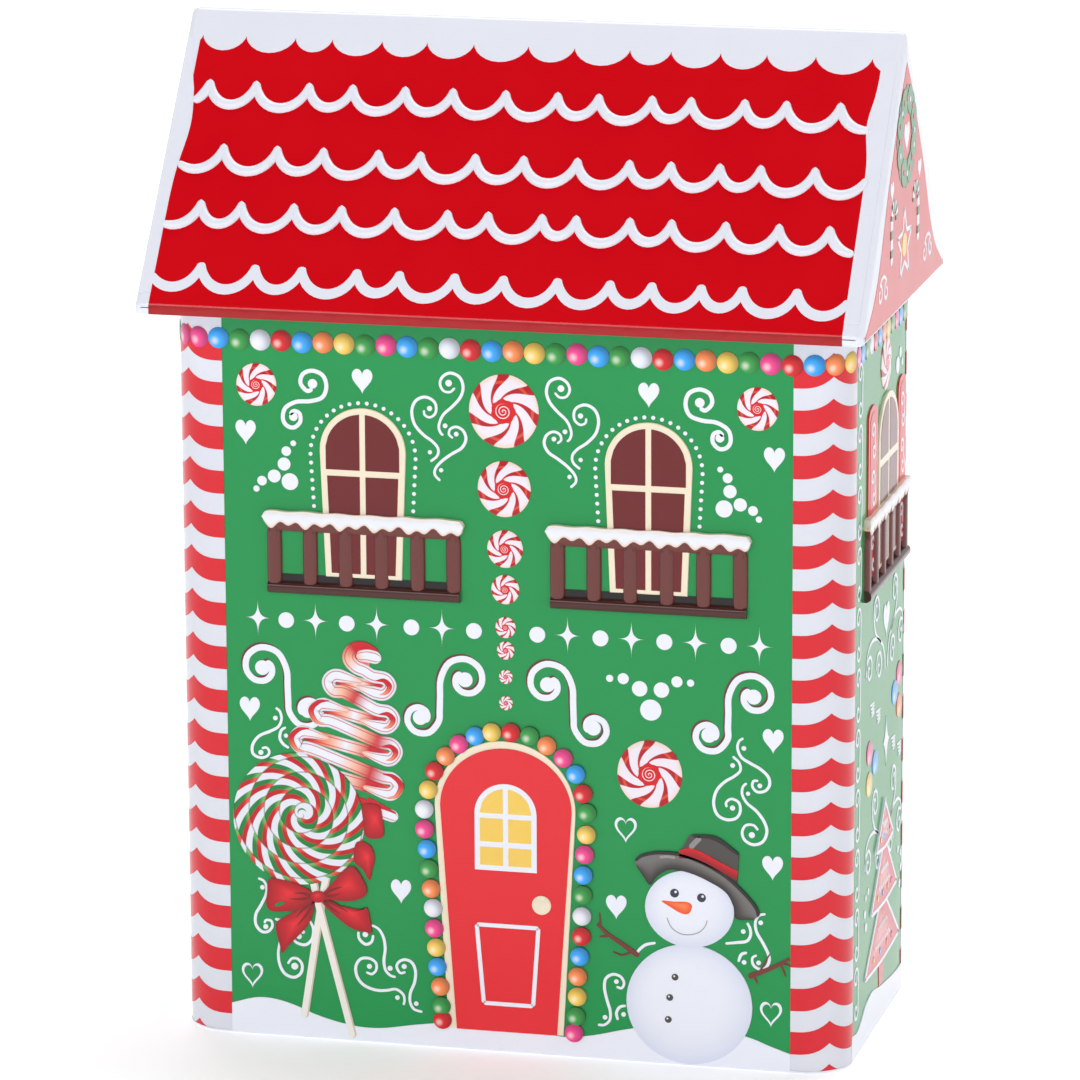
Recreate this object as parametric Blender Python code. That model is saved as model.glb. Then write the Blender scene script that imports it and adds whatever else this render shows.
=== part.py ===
"""A printed metal gift tin in the shape of a gingerbread house, with its roof as the slip lid.

The tin stands on the origin with +Z up and its front wall facing -Y. Lengths are in metres.
Two solids: the box with its raised balconies, windows, door and sweets, and the roof lid
with its raised icing scallops. The tin is shut, so both are solid inside.
"""

import math

import bmesh
import bpy
from mathutils import Matrix, Vector

MM = 0.001

# Box
BODY_WIDTH = 140 * MM
BODY_DEPTH = 69.5 * MM
BODY_HEIGHT = 156.5 * MM
CORNER_RADIUS = 9 * MM
CORNER_STEPS = 8
FOOT_RADIUS = 0.6 * MM
BASE_RIM = 2.2 * MM
BASE_RECESS = 1.6 * MM

# Roof lid
LID_WIDTH = 149.2 * MM
LID_DEPTH = 87.6 * MM
LID_BOTTOM = 153.1 * MM
FLANGE_HEIGHT = 2.0 * MM
RIDGE_HEIGHT = 209.6 * MM
LID_EDGE_RADIUS = 1.5 * MM
RIM_WALL = 1.4 * MM
LEDGE_RECESS = 1.3 * MM
LID_CLEARANCE = 0.3 * MM

# Raised icing scallops on each slope: distance up the slope of the cusps, and the cusps along it.
SCALLOP_RISE = 0.6 * MM
SCALLOP_SINK = 0.7 * MM
SCALLOP_BAND = 2.1 * MM
SCALLOP_NOTCH = 3.6 * MM
SCALLOP_DEPTH = 5.1 * MM
SCALLOP_STEPS = 5
SCALLOP_END = 71.5 * MM
SCALLOP_PITCH = 11.5 * MM
SCALLOP_ROWS = (
    (51.8 * MM, (-67.5, -57.7, -46.5, -37.3, -26.3, -16.3, -5.3, 5.5, 14, 25, 33, 44, 52.5, 63.5)),
    (37.0 * MM, (-62, -50.7, -41, -29.5, -20.7, -9.3, 0.7, 11.8, 22.5, 31, 41, 49.3, 60.3)),
    (24.0 * MM, (-64.5, -56, -45, -35, -24, -13, -4.6, 6.5, 13.5, 24.5, 33, 44, 54.8, 65)),
)

# Raised work on the walls. Heights are above the base, and offsets are from the wall's middle.
SINK = 1.0 * MM
FRAME_RISE = 0.5 * MM
MINT_RISE = 0.6 * MM
RAIL_RISE = 1.5 * MM
POST_RISE = 1.1 * MM

WINDOW_CENTRES = (-29.6 * MM, 29.6 * MM)
WINDOW_WIDTH = 18.0 * MM
WINDOW_BOTTOM = 98.7 * MM
WINDOW_SPRING = 125.0 * MM
WINDOW_TOP = 134.0 * MM

RAIL_BOTTOM = 109.0 * MM
RAIL_TOP = 112.2 * MM
RAIL_WIDTH = 42.3 * MM
SILL_BOTTOM = 94.8 * MM
SILL_TOP = 97.2 * MM
POST_WIDTH = 3.2 * MM
POST_COUNT = 6
POST_SPAN = 37.6 * MM

DOOR_WIDTH = 28.5 * MM
DOOR_FOOT_WIDTH = 22.0 * MM
DOOR_BOTTOM = 5.6 * MM
DOOR_SPRING = 52.0 * MM
DOOR_TOP = 66.0 * MM
KNOB = (7.3 * MM, 32.3 * MM, 2.0 * MM)

# Peppermints on the front and back walls: offset, height, radius.
MINTS = (
    (0, 135, 7.2), (0, 119, 5.5), (0, 106.5, 3.7), (0, 98, 2.8),
    (-51.8, 138, 4.2), (51.8, 138, 4.2), (29.7, 61.5, 6.6),
)
MINT_SIDES = 20

# Side walls: the window with its two shutters, and the balcony under it.
SIDE_CENTRE = 4.2 * MM
SIDE_RAIL_WIDTH = 44.0 * MM
SIDE_POST_SPAN = 39.0 * MM
SIDE_WINDOW_WIDTH = 19.5 * MM
SHUTTER_WIDTH = 8.6 * MM
SHUTTER_TOP = 133.5 * MM


def material(name, colour, roughness=0.22, metallic=0.0):
    mat = bpy.data.materials.new(name)
    mat.use_nodes = True
    shader = mat.node_tree.nodes["Principled BSDF"]
    shader.inputs["Base Color"].default_value = (*colour, 1)
    shader.inputs["Roughness"].default_value = roughness
    shader.inputs["Metallic"].default_value = metallic
    return mat


def object_from(bm, name):
    """Turns a bmesh into an object in the scene, with its faces pointing out."""
    bmesh.ops.recalc_face_normals(bm, faces=bm.faces)
    mesh = bpy.data.meshes.new(name)
    bm.to_mesh(mesh)
    bm.free()
    obj = bpy.data.objects.new(name, mesh)
    bpy.context.scene.collection.objects.link(obj)
    return obj


def extruded(name, outline, low, high, place=Matrix.Identity(4)):
    """A flat outline, raised from low to high along its own +Z, then placed."""
    bm = bmesh.new()
    face = bm.faces.new([bm.verts.new((x, y, low)) for x, y in outline])
    moved = bmesh.ops.extrude_face_region(bm, geom=[face])["geom"]
    for part in moved:
        if isinstance(part, bmesh.types.BMVert):
            part.co.z = high
    bmesh.ops.transform(bm, matrix=place, verts=bm.verts)
    return object_from(bm, name)


def rounded_rectangle(width, depth, radius, steps=CORNER_STEPS):
    points = []
    for quarter, (sx, sy) in enumerate(((1, 1), (-1, 1), (-1, -1), (1, -1))):
        for step in range(steps + 1):
            angle = math.pi / 2 * (quarter + step / steps)
            points.append((
                sx * (width / 2 - radius) + radius * math.cos(angle),
                sy * (depth / 2 - radius) + radius * math.sin(angle),
            ))
    return points


def arch(width, foot_width, bottom, spring, top, centre=0.0, steps=10):
    """A door or window outline: sides from the foot to the spring line, then half an ellipse."""
    points = [(centre - foot_width / 2, bottom), (centre + foot_width / 2, bottom)]
    for step in range(steps + 1):
        angle = math.pi * step / steps
        points.append((
            centre + width / 2 * math.cos(angle),
            spring + (top - spring) * math.sin(angle),
        ))
    return points


def rectangle(left, right, bottom, top):
    return [(left, bottom), (right, bottom), (right, top), (left, top)]


def disc(x, y, radius, sides=MINT_SIDES):
    return [
        (x + radius * math.cos(2 * math.pi * k / sides), y + radius * math.sin(2 * math.pi * k / sides))
        for k in range(sides)
    ]


def wall(turns):
    """Places a drawing (across, up, out) on the front wall, turned by quarter turns about +Z."""
    reach = BODY_DEPTH / 2 if turns % 2 == 0 else BODY_WIDTH / 2
    front = Matrix(((1, 0, 0, 0), (0, 0, -1, -reach), (0, 1, 0, 0), (0, 0, 0, 1)))
    return Matrix.Rotation(turns * math.pi / 2, 4, "Z") @ front


def combine(target, pieces, operation):
    """One Boolean on a collection of pieces, applied, with the pieces then removed."""
    tools = bpy.data.collections.new("tools")
    for piece in pieces:
        tools.objects.link(piece)
    boolean = target.modifiers.new(operation.title(), "BOOLEAN")
    boolean.operand_type = "COLLECTION"
    boolean.collection = tools
    boolean.operation = operation
    boolean.solver = "MANIFOLD"
    bpy.context.view_layer.update()
    graph = bpy.context.evaluated_depsgraph_get()
    mesh = bpy.data.meshes.new_from_object(target.evaluated_get(graph))
    target.modifiers.remove(boolean)
    target.data = mesh
    for piece in pieces:
        bpy.data.objects.remove(piece)
    bpy.data.collections.remove(tools)


def post(x, bottom, top, place):
    """One balcony post: a half-round bar with a narrow rounded foot."""
    half = POST_WIDTH / 2
    profile = ((-1, -SINK), (-1, 0.25), (-0.55, 0.85), (0, 1), (0.55, 0.85), (1, 0.25), (1, -SINK))
    bm = bmesh.new()
    rings = []
    for height, share in ((bottom, 0.5), (bottom + half, 1.0), (top, 1.0)):
        ring = []
        for across, out in profile:
            depth = -SINK if out == -SINK else out * POST_RISE * share
            ring.append(bm.verts.new((x + across * half * share, height, depth)))
        rings.append(ring)
    for low, high in zip(rings, rings[1:]):
        for k in range(len(profile)):
            after = (k + 1) % len(profile)
            bm.faces.new((low[k], low[after], high[after], high[k]))
    bm.faces.new(rings[0])
    bm.faces.new(rings[-1])
    bmesh.ops.transform(bm, matrix=place, verts=bm.verts)
    return object_from(bm, "post")


def balcony(centre, rail_width, post_span, place):
    """A snow-topped rail, six posts and the sill that they stand on."""
    half = rail_width / 2
    rail = rectangle(centre - half, centre + half, RAIL_BOTTOM, RAIL_TOP)
    sill_half = half - 0.8 * MM
    sill = rectangle(centre - sill_half, centre + sill_half, SILL_BOTTOM, SILL_TOP)
    pieces = [
        extruded("rail", rail, -SINK, RAIL_RISE, place),
        extruded("sill", sill, -SINK, RAIL_RISE, place),
    ]
    for k in range(POST_COUNT):
        x = centre + post_span * (k / (POST_COUNT - 1) - 0.5)
        pieces.append(post(x, SILL_TOP - 0.4 * MM, RAIL_BOTTOM + 0.4 * MM, place))
    return pieces


def front_work(place):
    """The raised work of the front wall, which the back wall repeats."""
    pieces = []
    for centre in WINDOW_CENTRES:
        opening = arch(
            WINDOW_WIDTH, WINDOW_WIDTH - 3 * MM, WINDOW_BOTTOM, WINDOW_SPRING, WINDOW_TOP, centre
        )
        pieces.append(extruded("window", opening, -SINK, FRAME_RISE, place))
        pieces += balcony(centre, RAIL_WIDTH, POST_SPAN, place)
    leaf = arch(DOOR_WIDTH, DOOR_FOOT_WIDTH, DOOR_BOTTOM, DOOR_SPRING, DOOR_TOP)
    pieces.append(extruded("door", leaf, -SINK, FRAME_RISE, place))
    x, z, radius = KNOB
    pieces.append(extruded("knob", disc(x, z, radius), -SINK, RAIL_RISE, place))
    for x, z, radius in MINTS:
        pieces.append(extruded("mint", disc(x * MM, z * MM, radius * MM), -SINK, MINT_RISE, place))
    return pieces


def side_work(place, side):
    """The raised work of a side wall. side is 1 on the right wall and -1 on the left one."""
    centre = side * SIDE_CENTRE
    opening = arch(
        SIDE_WINDOW_WIDTH, SIDE_WINDOW_WIDTH, WINDOW_BOTTOM, WINDOW_SPRING, WINDOW_TOP, centre
    )
    pieces = [extruded("window", opening, -SINK, FRAME_RISE, place)]
    for hand in (-1, 1):
        near = centre + hand * (SIDE_WINDOW_WIDTH / 2 + 0.4 * MM)
        far = near + hand * SHUTTER_WIDTH
        shutter = rectangle(min(near, far), max(near, far), WINDOW_BOTTOM, SHUTTER_TOP)
        pieces.append(extruded("shutter", shutter, -SINK, FRAME_RISE * 1.3, place))
    return pieces + balcony(centre, SIDE_RAIL_WIDTH, SIDE_POST_SPAN, place)


def tin_body():
    outline = rounded_rectangle(BODY_WIDTH, BODY_DEPTH, CORNER_RADIUS)
    body = extruded("tin_body", outline, 0, BODY_HEIGHT)
    bm = bmesh.new()
    bm.from_mesh(body.data)
    foot = [e for e in bm.edges if all(v.co.z < FOOT_RADIUS for v in e.verts)]
    bmesh.ops.bevel(bm, geom=foot, offset=FOOT_RADIUS, segments=2, affect="EDGES")
    bm.to_mesh(body.data)
    bm.free()
    recess = rounded_rectangle(
        BODY_WIDTH - 2 * BASE_RIM, BODY_DEPTH - 2 * BASE_RIM, CORNER_RADIUS - BASE_RIM
    )
    combine(body, [extruded("recess", recess, -SINK, BASE_RECESS)], "DIFFERENCE")
    pieces = front_work(wall(0)) + front_work(wall(2))
    pieces += side_work(wall(1), 1) + side_work(wall(3), -1)
    combine(body, pieces, "UNION")
    return body


def slope(turned):
    """Places a drawing (along, up the slope, out) on the front slope, or on the back one."""
    run = LID_DEPTH / 2
    rise = RIDGE_HEIGHT - LID_BOTTOM - FLANGE_HEIGHT
    up = Vector((0, run, rise)).normalized()
    out = Vector((1, 0, 0)).cross(up)
    foot = Vector((0, -run, LID_BOTTOM + FLANGE_HEIGHT))
    columns = (Vector((1, 0, 0)), up, out, foot)
    front = Matrix([[column[row] for column in columns] for row in range(3)] + [[0, 0, 0, 1]])
    return Matrix.Rotation(math.pi if turned else 0, 4, "Z") @ front


def scallop_edges(x, cusps, crest):
    """Lower and upper edge of an icing band at x. Between cusps both edges sag as a hung chain does."""
    before = max(c for c in cusps if c <= x)
    after = min(c for c in cusps if c > x)
    share = (x - before) / (after - before)
    sag = (4 * share * (1 - share)) ** 0.8
    upper = crest - SCALLOP_DEPTH * sag
    low_crest = crest - SCALLOP_NOTCH
    lower = low_crest - (SCALLOP_DEPTH + SCALLOP_BAND - SCALLOP_NOTCH) * sag
    return lower, upper


def scallop_row(crest, cusps, place):
    """A raised band of icing that runs along the slope in scallops between its cusps."""
    cusps = [c * MM for c in cusps]
    cusps = [cusps[0] - SCALLOP_PITCH, *cusps, cusps[-1] + SCALLOP_PITCH]
    stations = []
    for a, b in zip(cusps, cusps[1:]):
        stations += [a + (b - a) * k / SCALLOP_STEPS for k in range(SCALLOP_STEPS)]
    stations = [x for x in stations if abs(x) < SCALLOP_END - 0.5 * MM]
    stations = [-SCALLOP_END] + stations + [SCALLOP_END]
    bm = bmesh.new()
    rings = []
    for x in stations:
        lower, upper = scallop_edges(x, cusps, crest)
        shoulder = 0.3 * (upper - lower)
        ring = (
            (lower, -SCALLOP_SINK), (lower + shoulder, SCALLOP_RISE),
            (upper - shoulder, SCALLOP_RISE), (upper, -SCALLOP_SINK),
        )
        rings.append([bm.verts.new((x, up, out)) for up, out in ring])
    for left, right in zip(rings, rings[1:]):
        for k in range(4):
            after = (k + 1) % 4
            bm.faces.new((left[k], left[after], right[after], right[k]))
    bm.faces.new(rings[0])
    bm.faces.new(rings[-1])
    bmesh.ops.triangulate(bm, faces=bm.faces)
    bmesh.ops.transform(bm, matrix=place, verts=bm.verts)
    return object_from(bm, "scallops")


def roof_lid():
    run = LID_DEPTH / 2
    gable = [
        (-run, LID_BOTTOM), (run, LID_BOTTOM), (run, LID_BOTTOM + FLANGE_HEIGHT),
        (0, RIDGE_HEIGHT), (-run, LID_BOTTOM + FLANGE_HEIGHT),
    ]
    sideways = Matrix(((0, 0, 1, 0), (1, 0, 0, 0), (0, 1, 0, 0), (0, 0, 0, 1)))
    lid = extruded("roof_lid", gable, -LID_WIDTH / 2, LID_WIDTH / 2, sideways)
    bm = bmesh.new()
    bm.from_mesh(lid.data)
    edges = [e for e in bm.edges if any(v.co.z > LID_BOTTOM + 0.1 * MM for v in e.verts)]
    bmesh.ops.bevel(bm, geom=edges, offset=LID_EDGE_RADIUS, segments=3, affect="EDGES", profile=0.5)
    bm.to_mesh(lid.data)
    bm.free()
    ledge = rounded_rectangle(
        LID_WIDTH - 2 * RIM_WALL, LID_DEPTH - 2 * RIM_WALL, 1.5 * MM, steps=3
    )
    seat = rounded_rectangle(
        BODY_WIDTH + 2 * LID_CLEARANCE, BODY_DEPTH + 2 * LID_CLEARANCE, CORNER_RADIUS + LID_CLEARANCE
    )
    below = LID_BOTTOM - SINK
    combine(lid, [
        extruded("ledge", ledge, below, LID_BOTTOM + LEDGE_RECESS),
        extruded("seat", seat, below, BODY_HEIGHT + LID_CLEARANCE),
    ], "DIFFERENCE")
    rows = [
        scallop_row(crest, cusps, slope(turned))
        for turned in (False, True)
        for crest, cusps in SCALLOP_ROWS
    ]
    combine(lid, rows, "UNION")
    return lid


def main():
    for obj in list(bpy.data.objects):
        bpy.data.objects.remove(obj)
    body = tin_body()
    body.data.materials.clear()
    body.data.materials.append(material("printed_green_tinplate", (0.02, 0.33, 0.08)))
    lid = roof_lid()
    lid.data.materials.clear()
    lid.data.materials.append(material("printed_red_tinplate", (0.62, 0.0, 0.02)))
    for obj in (body, lid):
        obj.data.shade_smooth()
        obj.data.set_sharp_from_angle(angle=math.radians(30))


main()
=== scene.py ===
"""A printed metal gift tin in the shape of a gingerbread house, dressed over its CAD frame.

Sizes in this file are in millimetres unless a property says otherwise. Flat drawings are given as
(across, up, out) and are wrapped round the box, up the roof or on a gable by a place function.
"""

import math

import bpy
import numpy as np
from bpy.props import FloatProperty, FloatVectorProperty, PointerProperty
from bpy.types import Operator, Panel, PropertyGroup
from mathutils import Matrix, Vector


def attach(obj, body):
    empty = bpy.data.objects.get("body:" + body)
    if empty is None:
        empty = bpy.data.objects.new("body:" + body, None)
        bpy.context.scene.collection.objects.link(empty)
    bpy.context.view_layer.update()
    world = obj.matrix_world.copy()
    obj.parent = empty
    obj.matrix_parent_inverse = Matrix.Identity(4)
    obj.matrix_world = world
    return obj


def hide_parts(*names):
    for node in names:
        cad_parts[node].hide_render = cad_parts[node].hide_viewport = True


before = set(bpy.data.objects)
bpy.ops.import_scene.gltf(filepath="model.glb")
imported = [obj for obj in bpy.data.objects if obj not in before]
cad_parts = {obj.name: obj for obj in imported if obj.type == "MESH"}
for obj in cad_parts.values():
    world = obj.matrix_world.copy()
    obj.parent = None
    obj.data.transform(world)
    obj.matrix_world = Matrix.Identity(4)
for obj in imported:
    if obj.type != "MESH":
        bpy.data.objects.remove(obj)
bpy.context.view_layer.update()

bl_info = {
    "name": "Gingerbread house tin",
    "version": (1, 0, 0),
    "blender": (4, 5, 0),
    "location": "3D View > Sidebar > Tin",
    "description": "Builds a printed, embossed gift tin with a roof-shaped lid",
    "category": "Add Mesh",
}

MM = 0.001
TAU = 2 * math.pi

# Box, as in the CAD frame
HALF_WIDTH = 70.0
HALF_DEPTH = 34.75
BOX_TOP = 156.5
CORNER = 9.0
ARC = CORNER * math.pi / 2

# Lid, as in the CAD frame
LID_HALF_WIDTH = 74.6
LID_HALF_DEPTH = 43.8
LID_FOOT = 153.1
FLANGE_TOP = 155.1
RIDGE = 209.6
LID_EDGE = 1.5
SLOPE_LENGTH = math.hypot(LID_HALF_DEPTH, RIDGE - FLANGE_TOP)
SLOPE_TILT = math.atan2(RIDGE - FLANGE_TOP, LID_HALF_DEPTH)
BEND_TURN = math.pi / 2 - SLOPE_TILT
BEND_REACH = LID_EDGE * math.tan(BEND_TURN / 2)
RIDGE_REACH = LID_EDGE * math.tan(SLOPE_TILT)

# How far print stands off the metal, one step for each ink on top of another
LAYER = 0.06
SUNK = 0.3


# Places: drawings on the tin

# Each wall of the box, in quarter turns from the front: half its flat part, its distance from
# the middle, and the way round the box to its own middle.
FLATS = np.array((HALF_WIDTH, HALF_DEPTH, HALF_WIDTH, HALF_DEPTH)) - CORNER
REACHES = np.array((HALF_DEPTH, HALF_WIDTH, HALF_DEPTH, HALF_WIDTH))
ROUND = 2 * (FLATS.sum() + 2 * ARC)
WALL_ENDS = np.cumsum(2 * FLATS + ARC) - FLATS[0] - ARC / 2
WALL_MIDDLES = WALL_ENDS - FLATS - ARC / 2


def round_box(along, up, out):
    """Wraps a drawing round the box. Along a flat part, x is the way from the wall's middle;
    past it, the angle is the rest of the way / corner radius, and x and y follow a circle of
    radius corner + out. Each wall is the front one after its quarter turns."""
    along = np.mod(along + WALL_ENDS[0], ROUND) - WALL_ENDS[0]
    wall = np.searchsorted(WALL_ENDS, along) % 4
    way = along - WALL_MIDDLES[wall]
    flat = np.clip(way, -FLATS[wall], FLATS[wall])
    angle = (way - flat) / CORNER
    x = flat + (CORNER + out) * np.sin(angle)
    y = CORNER - REACHES[wall] - (CORNER + out) * np.cos(angle)
    cos = np.array((1, 0, -1, 0))[wall]
    sin = np.array((0, 1, 0, -1))[wall]
    return np.stack((x * cos - y * sin, x * sin + y * cos, up), -1)


def on_wall(number, mirrored=False):
    """Places a drawing on one wall, with 0 across at the wall's middle."""
    sign = -1 if mirrored else 1
    return lambda x, up, out: round_box(WALL_MIDDLES[number] + sign * x, up, out)


FRONT_WALLS = (on_wall(0), on_wall(2))
SIDE_WALLS = (on_wall(1), on_wall(3, True))


def on_roof(back=False):
    """Places a drawing on a roof slope: up is the way from the flange's top edge, 0, up the slope.

    Below the bend the drawing lies on the upright flange; the bend and the ridge are arcs of the
    lid's edge radius, where the angle is the way divided by the radius.
    """

    def place(x, up, out):
        up = np.asarray(up, dtype=float)
        rise = RIDGE - FLANGE_TOP
        direction = np.array((LID_HALF_DEPTH, rise)) / SLOPE_LENGTH
        outward = np.array((-direction[1], direction[0]))
        foot = np.array((-LID_HALF_DEPTH, FLANGE_TOP))
        straight = foot + up[..., None] * direction + out[..., None] * outward

        flange_y = -LID_HALF_DEPTH - out
        bend_centre = np.array((-LID_HALF_DEPTH + LID_EDGE, FLANGE_TOP - BEND_REACH))
        bend = (up + BEND_REACH) / (2 * BEND_REACH) * BEND_TURN
        bend_y = bend_centre[0] - (LID_EDGE + out) * np.cos(bend)
        bend_z = bend_centre[1] + (LID_EDGE + out) * np.sin(bend)

        top = SLOPE_LENGTH - RIDGE_REACH
        ridge_centre = foot + top * direction - LID_EDGE * outward
        turn = BEND_TURN + (up - top) / LID_EDGE
        ridge_y = ridge_centre[0] - (LID_EDGE + out) * np.cos(turn)
        ridge_z = ridge_centre[1] + (LID_EDGE + out) * np.sin(turn)

        parts = [up < -BEND_REACH, up < BEND_REACH, up > top]
        y = np.select(parts, [flange_y, bend_y, ridge_y], straight[..., 0])
        z = np.select(parts, [FLANGE_TOP + up, bend_z, ridge_z], straight[..., 1])
        sign = -1 if back else 1
        return np.stack((sign * x + 0 * up, sign * y, z), -1)

    return place


def on_gable(left=False):
    """Places a drawing (y across, height above the lid's foot, out) on a gable end."""
    sign = -1 if left else 1
    return lambda y, up, out: np.stack(
        (sign * (LID_HALF_WIDTH + out), sign * y, LID_FOOT + up), -1
    )


SLOPES = (on_roof(), on_roof(True))
ROOF_TOP = SLOPE_LENGTH - RIDGE_REACH + LID_EDGE * (math.pi / 2 - BEND_TURN)


# Outlines and paths, as rows of (across, up)


def disc(x, y, radius, sides=24):
    """Points on a circle: centre + radius * (cos, sin)."""
    angle = np.arange(sides) / sides * TAU
    return np.stack((x + radius * np.cos(angle), y + radius * np.sin(angle)), -1)


def oval(x, y, across, up, tilt=0.0, sides=40):
    """Points on an ellipse with half axes across and up, turned by tilt degrees."""
    points = disc(0, 0, 1, sides) * (across, up)
    turn = math.radians(tilt)
    cos, sin = math.cos(turn), math.sin(turn)
    return points @ np.array(((cos, sin), (-sin, cos))) + (x, y)


def heart(x, y, width, height, sides=36):
    """The heart curve x = 16 sin^3 t, y = 13 cos t - 5 cos 2t - 2 cos 3t - cos 4t, to size.

    It starts and ends at the bottom tip.
    """
    t = np.pi + np.arange(sides) / sides * TAU
    across = 16 * np.sin(t) ** 3
    up = 13 * np.cos(t) - 5 * np.cos(2 * t) - 2 * np.cos(3 * t) - np.cos(4 * t)
    middle = (up.max() + up.min()) / 2
    return np.stack((x + across / 32 * width, y + (up - middle) / np.ptp(up) * height), -1)


def star(x, y, across, up, power=3.0, sides=48):
    """A four-pointed star with hollow sides: across * cos^power t, up * sin^power t."""
    t = np.arange(sides) / sides * TAU
    cos, sin = np.cos(t), np.sin(t)
    return np.stack((
        x + across * np.sign(cos) * np.abs(cos) ** power,
        y + up * np.sign(sin) * np.abs(sin) ** power,
    ), -1)


def arch(centre, width, foot_width, bottom, spring, top, steps=24):
    """Straight sides from the foot up to the spring line, then half an ellipse over them."""
    t = np.linspace(0, np.pi, steps)
    over = np.stack((
        centre + width / 2 * np.cos(t),
        spring + (top - spring) * np.sin(t),
    ), -1)
    foot = np.array(((centre - foot_width / 2, bottom), (centre + foot_width / 2, bottom)))
    return np.vstack((foot, over))


def smooth(points, steps=8, closed=False):
    """A Catmull-Rom curve through the points: between b and c, with neighbours a and d,
    (2b + (c - a)t + (2a - 5b + 4c - d)t^2 + (3b - a - 3c + d)t^3) / 2."""
    points = np.asarray(points, dtype=float)
    if closed:
        a, b, c, d = (np.roll(points, shift, 0) for shift in (1, 0, -1, -2))
    else:
        padded = np.vstack((2 * points[0] - points[1], points, 2 * points[-1] - points[-2]))
        a, b, c, d = padded[:-3], padded[1:-2], padded[2:-1], padded[3:]
    t = (np.arange(steps) / steps)[None, :, None]
    a, b, c, d = (p[:, None, :] for p in (a, b, c, d))
    curve = (2 * b + (c - a) * t + (2 * a - 5 * b + 4 * c - d) * t ** 2
             + (3 * b - a - 3 * c + d) * t ** 3) / 2
    curve = curve.reshape(-1, 2)
    return curve if closed else np.vstack((curve, points[-1]))


def spiral(x, y, radius, angle, turns, hand, inner=0.3):
    """A spiral from its middle out to the angle in degrees: the radius grows evenly as the
    angle turns, anticlockwise for hand 1 and clockwise for hand -1."""
    share = np.linspace(0, 1, max(4, int(turns * 9)))
    turned = math.radians(angle) - hand * TAU * turns * (1 - share)
    reach = radius * (inner + (1 - inner) * share)
    return np.stack((x + reach * np.cos(turned), y + reach * np.sin(turned)), -1)


def scroll(start, middle, end):
    """A scroll: a spiral from its middle out, points on the way, and a spiral to its middle."""
    x, y, radius, angle, turns, hand = end
    last = spiral(x, y, radius, angle, turns, -hand)[::-1]
    return smooth(np.vstack((spiral(*start), middle, last)), steps=4)


# Forms: closed meshes


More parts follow.
